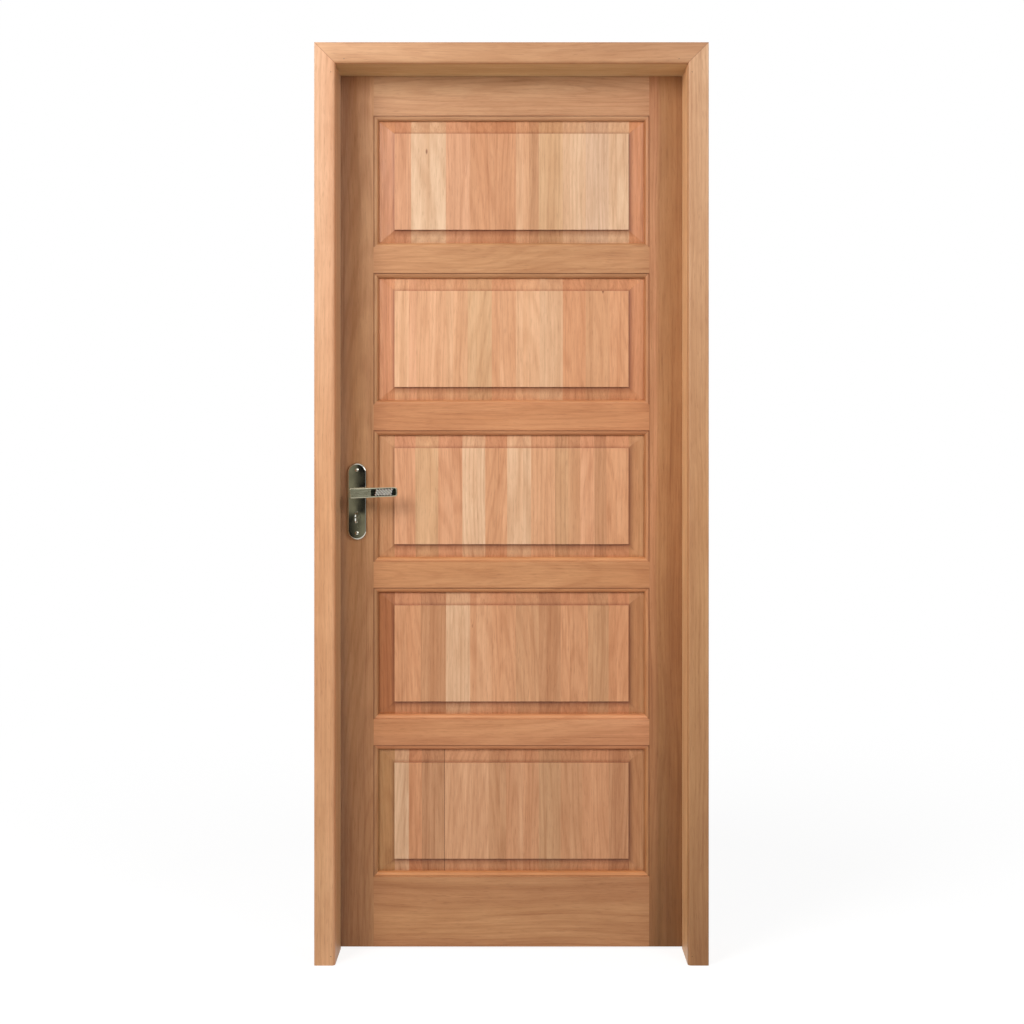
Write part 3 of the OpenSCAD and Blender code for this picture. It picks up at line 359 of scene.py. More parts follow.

# %% [markdown]
# ## Painted shade in the corners
# Dark lines along the mouldings and round the raised fields are painted shade. They darken the
# colour where the lamps leave the inner corners in shadow: most under a field's lower edge and at
# its right, least on a moulding that faces up. The mitres of the casing get a dark joint line. A
# node that darkens all hollows would treat every corner alike. The measured distances let each of
# the four edges have its own share. The top rail gets the quirk line alone, at half strength.

# %% Painted shade and joint line group
# each line here is painted shade in an inner corner, except the casing's mitre line, a dark joint
SIGHT_EDGE = 0.010
FIELD_HALF, FIELD_START, FIELD_SHADOW_START = (0.268, 0.110), 0.0002, 0.0005
CASING_CORNER = (0.436, 2.040)
# how far past the edge a line lies, and its width
QUIRK_AT, SIGHT_AT, SOFFIT_AT = (0.0, 0.0013), (-SIGHT_EDGE, 0.0018), (-SIGHT_EDGE / 2, 0.0065)
THIN_AT, MITRE_AT = (0.0012, 0.0018), (0.0, 0.0016)
# shares on the left, right, lower and upper edge
QUIRK, SIGHT, SOFFIT = (0.8, 0.7, 0.0, 0.8), (0.1, 0.0, 0.0, 0.12), (0.0, 0.0, 0.0, 0.25)
FIELD_SHADOW, THIN = (0.55, 0.80, 0.88, 0.54), (0.6, 0.7, 0.9, 0.4)
# how far the painted shadow round each edge of the field reaches
FIELD_SHADOW_REACH = (0.009, 0.015, 0.016, 0.007)
TOP_RAIL_SHARE, MITRE_SHARE = 0.5, 0.6


def make_shade_and_joint_lines():
    lines = dict.fromkeys(("Quirk", "Moulding", "Field", "Mitre"), "Float")
    tree, given, result = new_group("shade_and_joint_lines", {"Vector": "Vector"}, lines)
    x, _, z = axes_of(tree, given["Vector"])
    side = sum_of(tree, "ABSOLUTE", x)
    rise = fold_openings(tree, z)
    height = sum_of(tree, "ABSOLUTE", rise)
    on_right = sum_of(tree, "GREATER_THAN", x, 0.0)
    on_top = sum_of(tree, "GREATER_THAN", rise, 0.0)

    def by_edge(level, left, right, lower, upper):
        upright = sum_of(tree, "MULTIPLY_ADD", on_right, right - left, left)
        lying = sum_of(tree, "MULTIPLY_ADD", on_top, upper - lower, lower)
        change = sum_of(tree, "SUBTRACT", lying, upright)
        return sum_of(tree, "MULTIPLY_ADD", level, change, upright)

    def shared(line, level, shares):
        return sum_of(tree, "MULTIPLY", line, by_edge(level, *shares))

    opening, level = past_edge(tree, side, height, OPENING_HALF, OPENING_HEIGHT / 2)
    quirk = shared(line_at(tree, opening, *QUIRK_AT), level, QUIRK)
    sight = shared(line_at(tree, opening, *SIGHT_AT), level, SIGHT)
    soffit = shared(line_at(tree, opening, *SOFFIT_AT), level, SOFFIT)
    tree.links.new(sum_of(tree, "MULTIPLY", quirk, TOP_RAIL_SHARE), result["Quirk"])
    tree.links.new(chain(tree, "MAXIMUM", quirk, sight, soffit), result["Moulding"])

    field, level = past_edge(tree, side, height, *FIELD_HALF)
    beyond = sum_of(tree, "GREATER_THAN", field, FIELD_START)
    # painted shadow round the raised field, fading away from its edge
    field_shadow = stretch(tree, field, by_edge(level, *FIELD_SHADOW_REACH), FIELD_SHADOW_START)
    field_shadow = sum_of(tree, "MULTIPLY", shared(field_shadow, level, FIELD_SHADOW), beyond)
    thin = shared(line_at(tree, field, *THIN_AT), level, THIN)
    tree.links.new(chain(tree, "MAXIMUM", field_shadow, thin, sight), result["Field"])

    mitre = sum_of(tree, "SUBTRACT", sum_of(tree, "SUBTRACT", z, CASING_CORNER[1]),
                   sum_of(tree, "SUBTRACT", side, CASING_CORNER[0]))
    mitre_line = line_at(tree, mitre, *MITRE_AT)
    tree.links.new(sum_of(tree, "MULTIPLY", mitre_line, MITRE_SHARE), result["Mitre"])
    return tree


shade_and_joint_lines = make_shade_and_joint_lines()
print("corner line group has", len(shade_and_joint_lines.nodes), "nodes")

# %% [markdown]
# ## Colour of the wood
# Fixed colours for the marks would need a set for every board. Here each mark of the figure
# darkens the board's own tone by a tint, so that the same marks look right on a pale board and on
# a red one. A board's contrast says how strongly its rings, bands and lines show; its fibres,
# pores and knots show alike on all. Streaks drift to a second tone.

# %% Wood colour
STREAK_SHARE = 0.8
# share, whether the board's contrast changes it, and tint
FIGURE_TINTS = {
    "Rings": (0.38, True, (0.80, 0.70, 0.62, 1.0)),
    "Growth": (0.62, True, (0.83, 0.76, 0.69, 1.0)),
    "Lines": (0.28, True, (0.78, 0.69, 0.61, 1.0)),
    "Veins": (0.34, True, (0.70, 0.56, 0.46, 1.0)),
    "Cloud": (0.62, False, (0.83, 0.75, 0.68, 1.0)),
    "Fibre": (0.52, False, (0.80, 0.74, 0.68, 1.0)),
    "Pores": (0.34, False, (0.60, 0.50, 0.42, 1.0)),
    "Knots": (0.85, False, (0.36, 0.22, 0.16, 1.0)),
}


def wood_colour(tree, figure, tone, streak_tone, contrast):
    streaks = sum_of(tree, "MULTIPLY", figure["Streak"], STREAK_SHARE)
    colour = blend_colours(tree, streaks, tone, streak_tone)
    for name, (share, by_contrast, tint) in FIGURE_TINTS.items():
        amount = sum_of(tree, "MULTIPLY", figure[name], share * contrast if by_contrast else share)
        colour = blend_colours(tree, amount, colour, tint, "MULTIPLY")
    return colour


print("marks of the figure:", ", ".join(FIGURE_TINTS))

# %% [markdown]
# ## Finishing a board
# The whole door is lacquered in one go, so every wood material ends the same way, in one function:
# the moulded faces get a tint, the corners their lines of painted shade or, at the mitres, dark
# joints, and a thin satin lacquer gives an even sheen with the pores just felt under it. The panels'
# bevels go redder; on some boards the mouldings are painted brighter, a painted highlight where the
# lamps catch them.

# %% Board finish
BEVEL_TINT = (0.86, 0.76, 0.68, 1.0)
# painted highlights on mouldings that face the lamps
PAINTED_EDGE_LIGHT = (1.18, 1.16, 1.12, 1.0)
STRONG_PAINTED_EDGE_LIGHT = (1.48, 1.42, 1.30, 1.0)
# tint of the painted shade lines, and of the dark joint lines in the casing's mitres
SHADE_AND_JOINT_TINT = (0.50, 0.36, 0.28, 1.0)
LACQUER_ROUGHNESS = (0.41, 0.58)
PORE_DEPTH, PORE_STRENGTH, FIBRE_HEIGHT = 0.0004, 0.12, 0.4


def lacquer(tree, shader, figure):
    sheen = stretch(tree, figure["Fibre"], 0.0, 1.0, *LACQUER_ROUGHNESS)
    tree.links.new(sheen, shader.inputs["Roughness"])
    bump = put(tree, "ShaderNodeBump")
    bump.inputs["Strength"].default_value = PORE_STRENGTH
    bump.inputs["Distance"].default_value = PORE_DEPTH
    fibres = sum_of(tree, "MULTIPLY", figure["Fibre"], FIBRE_HEIGHT)
    tree.links.new(sum_of(tree, "SUBTRACT", fibres, figure["Pores"]), bump.inputs["Height"])
    tree.links.new(bump.outputs[0], shader.inputs["Normal"])


def finish_board(tree, shader, place, seed, tone, streak_tone, contrast, moulded=None, lines=None):
    figure = place_group(tree, wood_figure, Vector=place, Seed=seed)
    colour = wood_colour(tree, figure, tone, streak_tone, contrast)
    if moulded:
        faces = place_group(tree, moulded_faces, Normal=place_on(tree, "Normal"))
        # the moulded faces' tint: the bevels' own redder colour, or a painted highlight
        colour = blend_colours(tree, faces["Mask"], colour, moulded, "MULTIPLY")
    if lines:
        # painted shade lines in the corners, or dark joint lines at the casing's mitres
        corners = place_group(tree, shade_and_joint_lines, Vector=place_on(tree))
        colour = blend_colours(tree, corners[lines], colour, SHADE_AND_JOINT_TINT, "MULTIPLY")
    tree.links.new(colour, shader.inputs["Base Color"])
    lacquer(tree, shader, figure)


print("lacquer roughness from", LACQUER_ROUGHNESS[0], "to", LACQUER_ROUGHNESS[1])

# %% [markdown]
# ## Tone along a board
# A board is not one colour from end to end; a flat colour would look like paint. Each gets its
# tone at its foot or left end, in the middle and at the other end, on a colour ramp along the
# grain. The tones are partly the wood's own and partly painted light and shade, where the lamps'
# light falls off across the door. On the stiles a wavy band along one edge is painted too: the
# lock stile darker next to its jamb, a painted shadow of the reveal, and the hinge stile lighter
# on its inner edge, away from its reveal's shade.

# %% Board tone
WAVE, WAVE_SQUEEZE = 0.005, (6.0, 6.0, 1.6)
# painted shade or painted light in a wavy band along one edge of a stile
# where the band starts across the board, where it is full, and its tint
LIGHT_AND_SHADE_BAND = {"hinge_stile": (-0.014, -0.026, (1.24, 1.22, 1.44, 1.0)),
             "lock_stile": (-0.008, -0.030, (0.66, 0.66, 0.78, 1.0))}


def board_tone(tree, name, place, half, tones):
    across, _, along = axes_of(tree, place)
    ramp = put(tree, "ShaderNodeValToRGB")
    steps = ramp.color_ramp.elements
    steps.new(0.5)
    for step, tone in zip(steps, tones):
        step.color = shade(*tone)
    tree.links.new(stretch(tree, along, -half, half), ramp.inputs["Fac"])
    if name not in LIGHT_AND_SHADE_BAND:
        return ramp.outputs["Color"]
    # the band is painted shade on the lock stile and painted light on the hinge stile
    start, full, tint = LIGHT_AND_SHADE_BAND[name]
    wave = stretch(tree, noise(tree, place, WAVE_SQUEEZE)["Fac"], 0.3, 0.7, -WAVE, WAVE)
    band = stretch(tree, sum_of(tree, "ADD", across, wave), start, full)
    return blend_colours(tree, band, ramp.outputs["Color"], tint, "MULTIPLY")


print("boards with a band along one edge:", ", ".join(LIGHT_AND_SHADE_BAND))

# %% [markdown]
# ## Boards
# The frame, the casing and the leaf's own frame are single boards, and no two come from the same
# plank. One material with a random tone would be quicker, but a joiner picks and places boards, so
# each has its own row here. The pattern is centred on the board. In uprights the grain stands; in
# the rails and heads it lies, so there the pattern is turned a quarter about Y.

# %% Board materials
# the tones hold painted light and shade too: most uprights darken towards the foot, the head casing
# towards its right end, and the hinge jamb is painted paler, as if lit
# seed, tones at the foot or left end, the middle and the other end, streak tone, and contrast
BOARDS = {
    "lock_side_casing": (3.1, (221, 174, 125), (228, 170, 121), (241, 199, 163), (232, 174, 131), 0.7),
    "hinge_side_casing": (7.4, (172, 125, 80), (215, 164, 115), (227, 185, 146), (200, 147, 104), 0.8),
    "head_casing": (1.7, (247, 199, 156), (214, 166, 123), (187, 142, 105), (206, 154, 111), 0.7),
    "lock_jamb": (5.2, (209, 169, 124), (221, 181, 138), (222, 185, 151), (214, 169, 126), 0.6),
    "hinge_jamb": (9.6, (228, 184, 132), (251, 208, 154), (249, 204, 154), (240, 192, 142), 0.5),
    "head_jamb": (2.8, (224, 191, 140), (234, 203, 151), (232, 202, 154), (216, 180, 131), 0.7),
    "lock_stile": (4.5, (182, 133, 87), (226, 173, 121), (211, 161, 116), (192, 139, 95), 1.0),
    "hinge_stile": (11.7, (135, 93, 45), (200, 145, 95), (188, 139, 93), (176, 120, 74), 1.0),
    "top_rail": (6.6, (213, 168, 125), (219, 176, 134), (221, 180, 140), (202, 152, 111), 1.1),
    "cross_rail_1": (0.9, (216, 161, 113), (215, 164, 115), (198, 149, 104), (200, 144, 98), 0.9),
    "cross_rail_2": (5.8, (206, 143, 95), (220, 156, 107), (212, 149, 101), (206, 141, 94), 0.8),
    "cross_rail_3": (2.2, (213, 153, 103), (222, 162, 111), (216, 157, 108), (206, 147, 99), 0.8),
    "cross_rail_4": (7.9, (215, 152, 101), (237, 176, 125), (232, 170, 125), (211, 148, 103), 0.8),
    "bottom_rail": (3.7, (203, 149, 100), (206, 153, 105), (196, 144, 98), (189, 133, 89), 1.0),
    "dowels": (1.2, (214, 184, 142), (214, 184, 142), (214, 184, 142), (206, 172, 128), 0.5),
}
RAILS = [name for name in BOARDS if "rail" in name]
LYING = {*RAILS, "head_casing", "head_jamb", "dowels"}
# boards whose moulded faces are painted brighter: a painted highlight where the lamps catch them
PAINTED_LIGHT_MOULDINGS = {"hinge_stile": PAINTED_EDGE_LIGHT, "cross_rail_3": PAINTED_EDGE_LIGHT, "cross_rail_4": PAINTED_EDGE_LIGHT,
           "bottom_rail": STRONG_PAINTED_EDGE_LIGHT}
# which lines each board takes: painted shade in its corners, or the mitres' dark joint line
LINES = {**dict.fromkeys(("lock_side_casing", "hinge_side_casing", "head_casing"), "Mitre"),
         **dict.fromkeys(("lock_stile", "hinge_stile", *RAILS), "Moulding"), "top_rail": "Quirk"}


def board_wood(name, seed, foot, middle, end, streak, contrast):
    low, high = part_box(name)
    lying = name in LYING
    material, tree, shader = new_material("wood_" + name)
    centred = put(tree, "ShaderNodeMapping", vector_type="TEXTURE")
    tree.links.new(place_on(tree), centred.inputs["Vector"])
    centred.inputs["Location"].default_value = (Vector(low) + Vector(high)) / 2
    centred.inputs["Rotation"].default_value = (0, math.radians(90) if lying else 0, 0)
    place = centred.outputs[0]
    half = (high[0] - low[0] if lying else high[2] - low[2]) / 2
    tone = board_tone(tree, name, place, half, (foot, middle, end))
    finish_board(tree, shader, place, seed, tone, shade(*streak), contrast,
                 PAINTED_LIGHT_MOULDINGS.get(name), LINES.get(name))
    dress(material, name)


for name, values in BOARDS.items():
    board_wood(name, *values)
print("boards dressed:", len(BOARDS), "of which lying:", len(LYING))

# %% [markdown]
# ## Staves of the panels
# A wide panel is glued up from narrow staves so that it stays flat. Each stave has its own tone,
# and the joints are straight lines. A row here goes across a panel from left to right: a tone, the
# joint that ends it in millimetres, the next tone, and so on. The first and the last tone are the
# side bevels, where the cutter opens wood from below the sanded face. MATCH says how well the
# staves of a panel were matched: it draws them to their average. FIGURE says how strongly the
# grain shows.

# %% Stave tones
TONES = {
    "ivory": (233, 203, 174), "cream": (235, 201, 166), "light": (233, 187, 147),
    "pink": (231, 178, 140), "peach": (226, 174, 133), "straw": (221, 180, 137),
    "orange": (219, 161, 118), "tan": (211, 161, 119), "brown": (195, 143, 102),
    "moss": (203, 159, 117), "red": (230, 174, 131), "rust": (211, 165, 120),
    "umber": (190, 130, 82), "olive": (206, 165, 115), "hazel": (217, 171, 127),
}
STAVES = {
    "panel_1": ("red", -268, "pink", -232, "cream", -151, "pink", -97, "orange", -38, "orange", 10,
                "light", 38, "tan", 61, "straw", 116, "cream", 168, "ivory", 221, "cream", 268,
                "red"),
    "panel_2": ("red", -268, "light", -235, "pink", -219, "peach", -150, "light", -100, "straw",
                -45, "peach", 10, "light", 65, "cream", 116, "orange", 170, "tan", 223, "orange",
                268, "red"),
    "panel_3": ("hazel", -268, "pink", -221, "straw", -168, "pink", -113, "cream", -62, "orange",
                -10, "cream", 45, "peach", 100, "moss", 129, "tan", 157, "pink", 189, "brown", 216,
                "orange", 268, "rust"),
    "panel_4": ("umber", -268, "orange", -209, "brown", -151, "cream", -97, "peach", -45, "orange",
                10, "tan", 61, "brown", 111, "orange", 173, "moss", 221, "orange", 268, "rust"),
    "panel_5": ("olive", -268, "cream", -237, "orange", -205, "brown", -154, "peach", -54, "tan",
                -13, "peach", 61, "moss", 111, "tan", 161, "orange", 221, "brown", 268, "hazel"),
}
LIFT = {"panel_1": 1.03, "panel_2": 1.13, "panel_3": 1.15, "panel_4": 1.12, "panel_5": 1.06}
MATCH = {"panel_1": 0.12, "panel_2": 0.24, "panel_3": 0.30, "panel_4": 0.40, "panel_5": 0.32}
FIGURE = {"panel_1": 0.9, "panel_2": 0.9, "panel_3": 1.1, "panel_4": 1.0, "panel_5": 1.05}
print("stave tones:", ", ".join(TONES))

# %% [markdown]
# ## A ramp for the staves
# Each stave could be a piece of its own, but in the real panel the bevels are cut through all of
# them after the glue has set, so a panel is one mesh. A colour ramp with hard steps, laid across
# it, gives each stave its tone. The ramp's alpha carries a number that takes the grain of each
# stave from another plank.

# %% Stave ramp
PANEL_REACH = 0.32
STAVE_STEP, PANEL_STEP = 0.37, 0.11


def stave_ramp(tree, name, seed, across):
    tones = [Vector(shade(*TONES[tone])[:3]) * LIFT[name] for tone in STAVES[name][::2]]
    joints = [mm / 1000 for mm in STAVES[name][1::2]]
    average = sum(tones[1:-1], Vector((0, 0, 0))) / (len(tones) - 2)
    ramp = put(tree, "ShaderNodeValToRGB")
    ramp.color_ramp.interpolation = "CONSTANT"
    steps = ramp.color_ramp.elements
    steps.remove(steps[1])
    for i, tone in enumerate(tones):
        step = steps[0] if i == 0 else steps.new((joints[i - 1] + PANEL_REACH) / (2 * PANEL_REACH))
        on_field = 0 < i < len(tones) - 1
        matched = tone.lerp(average, MATCH[name]) if on_field else tone
        step.color = (*matched, (i * STAVE_STEP + seed * PANEL_STEP) % 1.0)
    tree.links.new(stretch(tree, across, -PANEL_REACH, PANEL_REACH), ramp.inputs["Fac"])
    return ramp.outputs["Color"], ramp.outputs["Alpha"]


print("staves in each panel:", [len(order) // 2 - 1 for order in STAVES.values()])

# %% [markdown]
# ## Panels
# With the ramp a panel is finished like any board. The grain's place is wrapped at the width of
# a stave, so that each stave shows its own pith. One joint has opened a hair over the years, as
# glued joints do: a dark line in the lowest panel.

# %% Stave panels
STAVE_PITCH = 0.0535
PLANKS_APART = 9.0
FIRST_SEED, SEED_STEP = 2.3, 1.9
OPEN_JOINT = {"panel_5": -0.1535}
HAIR_HALF, HAIR_TINT = 0.0006, (0.34, 0.30, 0.26, 1.0)
WARM_STREAK = (0.94, 0.86, 0.80, 1.0)


def stave_wood(name, seed):
    low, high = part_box(name)
    material, tree, shader = new_material("staves_" + name)
    x, y, z = axes_of(tree, place_on(tree))
    tone, plank = stave_ramp(tree, name, seed, x)
    local = put(tree, "ShaderNodeCombineXYZ")
    feed(tree, local.inputs["X"], sum_of(tree, "WRAP", x, STAVE_PITCH / 2, -STAVE_PITCH / 2))
    feed(tree, local.inputs["Y"], sum_of(tree, "SUBTRACT", y, (low[1] + high[1]) / 2))
    feed(tree, local.inputs["Z"], sum_of(tree, "SUBTRACT", z, (low[2] + high[2]) / 2))
    if name in OPEN_JOINT:
        hair = sum_of(tree, "COMPARE", x, OPEN_JOINT[name], HAIR_HALF)
        tone = blend_colours(tree, hair, tone, HAIR_TINT, "MULTIPLY")
    warm = blend_colours(tree, 1.0, tone, WARM_STREAK, "MULTIPLY")
    stave_seed = sum_of(tree, "MULTIPLY_ADD", plank, PLANKS_APART, seed)
    finish_board(tree, shader, local.outputs[0], stave_seed, tone, warm, FIGURE[name],
                 BEVEL_TINT, "Field")
    dress(material, name)


for count, name in enumerate(STAVES):
    stave_wood(name, FIRST_SEED + SEED_STEP * count)
print("panels dressed:", ", ".join(STAVES))

# %% [markdown]
# ## Worn metal
# The handles are plated: polished on the plate, brushed on the lever. Polished metal has almost no
# colour of its own and shows the room, so the finish is mostly roughness: a few soft smudges on
# the plate, fine brush lines on the lever. Scratches modelled one by one would cost many faces and
# hardly show. One group gives both kinds of wear, as a value from bright to dull.

# %% Brushed and smudged metal group
# squeeze, detail, and the range that becomes 0 to 1
WEAR = {"Smudge": ((38.0, 38.0, 30.0), 3.0, 0.35, 0.7),
        "Brush": ((40.0, 2600.0, 2600.0), 1.0, 0.3, 0.7)}


def make_metal_wear():
    kinds = dict.fromkeys(WEAR, "Float")
    tree, given, result = new_group("metal_wear", {"Vector": "Vector"}, kinds)
    for name, (factors, detail, low, high) in WEAR.items():
        value = noise(tree, given["Vector"], factors, detail)["Fac"]
        tree.links.new(stretch(tree, value, low, high), result[name])
    return tree


metal_wear = make_metal_wear()
print("metal wear group has", len(metal_wear.nodes), "nodes")

# %% [markdown]
# ## Metal finishes
# The rest of the hardware is plainer: satin steel where the lock and the hinges show at the edges,
# zinc-plated steel inside the lock, brass for the cam that the key turns, and black nails. Each
# could be built as its own shader. They differ only in colour and in how rough they are, so one
# function makes them all, from a table that also says which pieces wear each finish.

# %% Metal finishes
DULLED = 0.86
HINGES = [f"{place}_hinge_{piece}" for place in ("top", "middle", "bottom")
          for piece in ("frame_plate", "leaf_plate", "pin")]
# colour, smoothest, roughest, kind of wear, and the pieces
FINISHES = {
    "polished_nickel": ((196, 192, 180), 0.025, 0.07, "Smudge", (
        "front_plate", "rear_plate", "lever_bushes", "plate_screws", "cylinder_body", "front_plug",
        "rear_plug")),
    "bright_nickel": ((238, 236, 228), 0.14, 0.24, "Smudge", ("key",)),
    "brushed_nickel": ((206, 202, 188), 0.24, 0.36, "Brush", ("lever_set_screws",)),
    "satin_steel": ((198, 196, 190), 0.26, 0.42, "Brush", (
        "forend", "forend_screws", "strike_plate", "strike_screws", "latch_bolt", "dead_bolt",
        "hinge_jamb_screws", "hinge_leaf_screws", "cylinder_screw", "frame_screws", *HINGES)),
    "zinc_steel": ((170, 172, 174), 0.32, 0.5, "Smudge", (
        "lock_case", "lock_cover", "case_rivets", "spindle", "follower", "latch_spring")),
    "turned_brass": ((214, 182, 116), 0.2, 0.34, "Smudge", ("cylinder_cam",)),
    "black_nail": ((74, 66, 60), 0.4, 0.6, "Smudge", ("casing_nails",)),
}


def metal(name, colour, smooth, rough, kind):
    material, tree, shader = new_material(name)
    shader.inputs["Metallic"].default_value = 1.0
    wear = place_group(tree, metal_wear, Vector=place_on(tree))[kind]
    tree.links.new(stretch(tree, wear, 0.0, 1.0, smooth, rough), shader.inputs["Roughness"])
    base = shade(*colour)
    dulled = (*[DULLED * v for v in base[:3]], 1.0)
    tree.links.new(blend_colours(tree, wear, base, dulled), shader.inputs["Base Color"])
    return material


for name, (*finish, pieces) in FINISHES.items():
    dress(metal(name, *finish), *pieces)
    print(name, "on", len(pieces), "pieces")

# %% [markdown]
# ## Lever
# The lever is brushed, but the floors of its two recesses are black and polished. They are part of
# the same casting, so the black is a mask in the material: a thin slice of the lever at the depth
# of the recess floors, inside the rim. Distance from the leaf's middle plane serves both levers.
# The face between the recesses, where the grip studs stand, is darkened in the same way.

# %% Lever finish
LEAF_MIDDLE_Y = 0.120
LEVER_AXIS = Vector((-0.353, 0.048, 1.042))
LEVER_TILT = math.radians(2.0)
FLOOR_PROUD, FLOOR_SLICE, FACE_PROUD = 0.0037, 0.0003, 0.0004
RECESS_FLOOR = LEAF_MIDDLE_Y - LEVER_AXIS.y + FLOOR_PROUD
RECESS_START, RECESS_HALF = 0.0365, 0.0084
GRIP_MIDDLE, GRIP_LENGTH, GRIP_SLOPE = 0.0655, 0.0410, 5 / 21
RECESS_BLACK, GRIP_BLACK = (54, 57, 48), (34, 34, 36)


def lever_metal():
    material = metal("lever_nickel", (200, 198, 174), 0.22, 0.34, "Brush")
    tree = material.node_tree
    base = tree.nodes["Principled BSDF"].inputs["Base Color"]
    on_lever = put(tree, "ShaderNodeMapping", vector_type="TEXTURE")
    tree.links.new(place_on(tree), on_lever.inputs["Vector"])
    on_lever.inputs["Location"].default_value = (LEVER_AXIS.x, LEAF_MIDDLE_Y, LEVER_AXIS.z)
    on_lever.inputs["Rotation"].default_value = (0, -LEVER_TILT, 0)
    along, through, up = axes_of(tree, on_lever.outputs[0])
    depth = sum_of(tree, "ABSOLUTE", through)
    in_rim = sum_of(tree, "LESS_THAN", sum_of(tree, "ABSOLUTE", up), RECESS_HALF)
    at_floor = sum_of(tree, "COMPARE", depth, RECESS_FLOOR, FLOOR_SLICE)
    past_start = sum_of(tree, "GREATER_THAN", along, RECESS_START)
    recess = chain(tree, "MULTIPLY", at_floor, past_start, in_rim)
    colour = blend_colours(tree, recess, base.links[0].from_socket, shade(*RECESS_BLACK))
    upright = sum_of(tree, "MULTIPLY_ADD", up, -GRIP_SLOPE, along)
    in_grip = sum_of(tree, "COMPARE", upright, GRIP_MIDDLE, GRIP_LENGTH / 2)
    on_face = sum_of(tree, "GREATER_THAN", depth, RECESS_FLOOR + FACE_PROUD)
    grip = chain(tree, "MULTIPLY", in_grip, on_face, in_rim)
    tree.links.new(blend_colours(tree, grip, colour, shade(*GRIP_BLACK)), base)
    return material


dress(lever_metal(), "front_lever", "rear_lever")
print("recess floor", round(RECESS_FLOOR * 1000, 2), "mm from the middle of the leaf")

# %% [markdown]
# ## Grip studs
# Between the recesses the lever's face is cut into rows of small studs for grip. A bump in the
# material would look flat from close by, so they are geometry. They repeat, so a Geometry Nodes
# tree makes them. Its first step is a grid with a stud on each point. The rows lean like the ends
# of the recesses: each point moves aside by its height times a slope.

# %% One grid of studs
def stud_grid(tree, size, stud, smaller):
    grid = put(tree, "GeometryNodeMeshGrid")
    for side, length, number in (("X", "Length", "Columns"), ("Y", "Height", "Rows")):
        step = sum_of(tree, "DIVIDE", size[length], size[number])
        margin = sum_of(tree, "MULTIPLY", step, 1 + smaller)
        feed(tree, grid.inputs["Size " + side], sum_of(tree, "SUBTRACT", size[length], margin))
        feed(tree, grid.inputs["Vertices " + side], sum_of(tree, "SUBTRACT", size[number], smaller))
    _, up, _ = axes_of(tree, put(tree, "GeometryNodeInputPosition").outputs[0])
    slope = sum_of(tree, "DIVIDE", size["Lean"], size["Height"])
    aside = put(tree, "ShaderNodeCombineXYZ")
    feed(tree, aside.inputs["X"], sum_of(tree, "MULTIPLY", up, slope))
    leaned = put(tree, "GeometryNodeSetPosition")
    tree.links.new(grid.outputs["Mesh"], leaned.inputs["Geometry"])
    tree.links.new(aside.outputs[0], leaned.inputs["Offset"])
    spread = put(tree, "GeometryNodeInstanceOnPoints")
    tree.links.new(leaned.outputs[0], spread.inputs["Points"])
    tree.links.new(stud, spread.inputs["Instance"])
    return spread.outputs[0]


print("rows of studs lean", round(math.degrees(math.atan(GRIP_SLOPE)), 1), "degrees")

# %% [markdown]
# ## Two grids in one tree
# The studs stand in staggered rows. One grid can't give that, so the tree joins two: the second is
# one column and one row smaller, so that it falls between the first. A stud is a cone with four
# sides and a flat top, which has few faces and catches light as a cut point does.

# %% Grip stud tree
STUD_FOOT, STUD_TOP = 0.5, 0.26


def make_stud_tree(material):
    sizes = {"Length": "Float", "Height": "Float", "Columns": "Int", "Rows": "Int",
             "Lean": "Float", "Stud Width": "Float", "Stud Height": "Float"}
    tree, size, result = new_group("grip_studs", {"Geometry": "Geometry", **sizes},
                                   {"Geometry": "Geometry"}, "GeometryNodeTree")
    stud = put(tree, "GeometryNodeMeshCone")
    stud.inputs["Vertices"].default_value = 4
    for end, share in (("Radius Bottom", STUD_FOOT), ("Radius Top", STUD_TOP)):
        feed(tree, stud.inputs[end], sum_of(tree, "MULTIPLY", size["Stud Width"], share))
    feed(tree, stud.inputs["Depth"], size["Stud Height"])
    both = put(tree, "GeometryNodeJoinGeometry")
    for smaller in (0, 1):
        tree.links.new(stud_grid(tree, size, stud.outputs["Mesh"], smaller), both.inputs[0])
    real = put(tree, "GeometryNodeRealizeInstances")
    tree.links.new(both.outputs[0], real.inputs[0])
    coat = put(tree, "GeometryNodeSetMaterial")
    coat.inputs["Material"].default_value = material
    tree.links.new(real.outputs[0], coat.inputs["Geometry"])
    tree.links.new(coat.outputs[0], result[0])
    return tree


stud_tree = make_stud_tree(metal("grip_nickel", (246, 245, 238), 0.20, 0.30, "Smudge"))
print("grip stud tree has", len(stud_tree.nodes), "nodes")

# %% [markdown]
# ## Seating the studs
# The tree works flat on the floor, where its sizes are easy to read. Its result becomes a plain
# mesh, is stood up and set on the lever's face, which slopes a little towards the tip, and is
# mirrored for the lever on the other side. A mirror turns faces inside out, so they are flipped
# back. Both sets ride with the handle and turn with it.

# %% Grip studs on both levers
END_MARGIN, RIM_MARGIN = 0.0010, 0.0008
GRIP = {"Length": GRIP_LENGTH - END_MARGIN, "Height": 2 * RECESS_HALF - RIM_MARGIN,
        "Columns": 6, "Rows": 3, "Lean": GRIP_SLOPE * 2 * RECESS_HALF,
        "Stud Width": 0.0054, "Stud Height": 0.0008}
FACE_FRONT, FACE_START, FACE_FALL, FACE_LENGTH = -0.006, -0.008, 0.0015, 0.098
FACE_SLOPE = math.atan2(FACE_FALL, FACE_LENGTH)
FACE_Y = FACE_FRONT + FACE_FALL * (GRIP_MIDDLE - FACE_START) / FACE_LENGTH


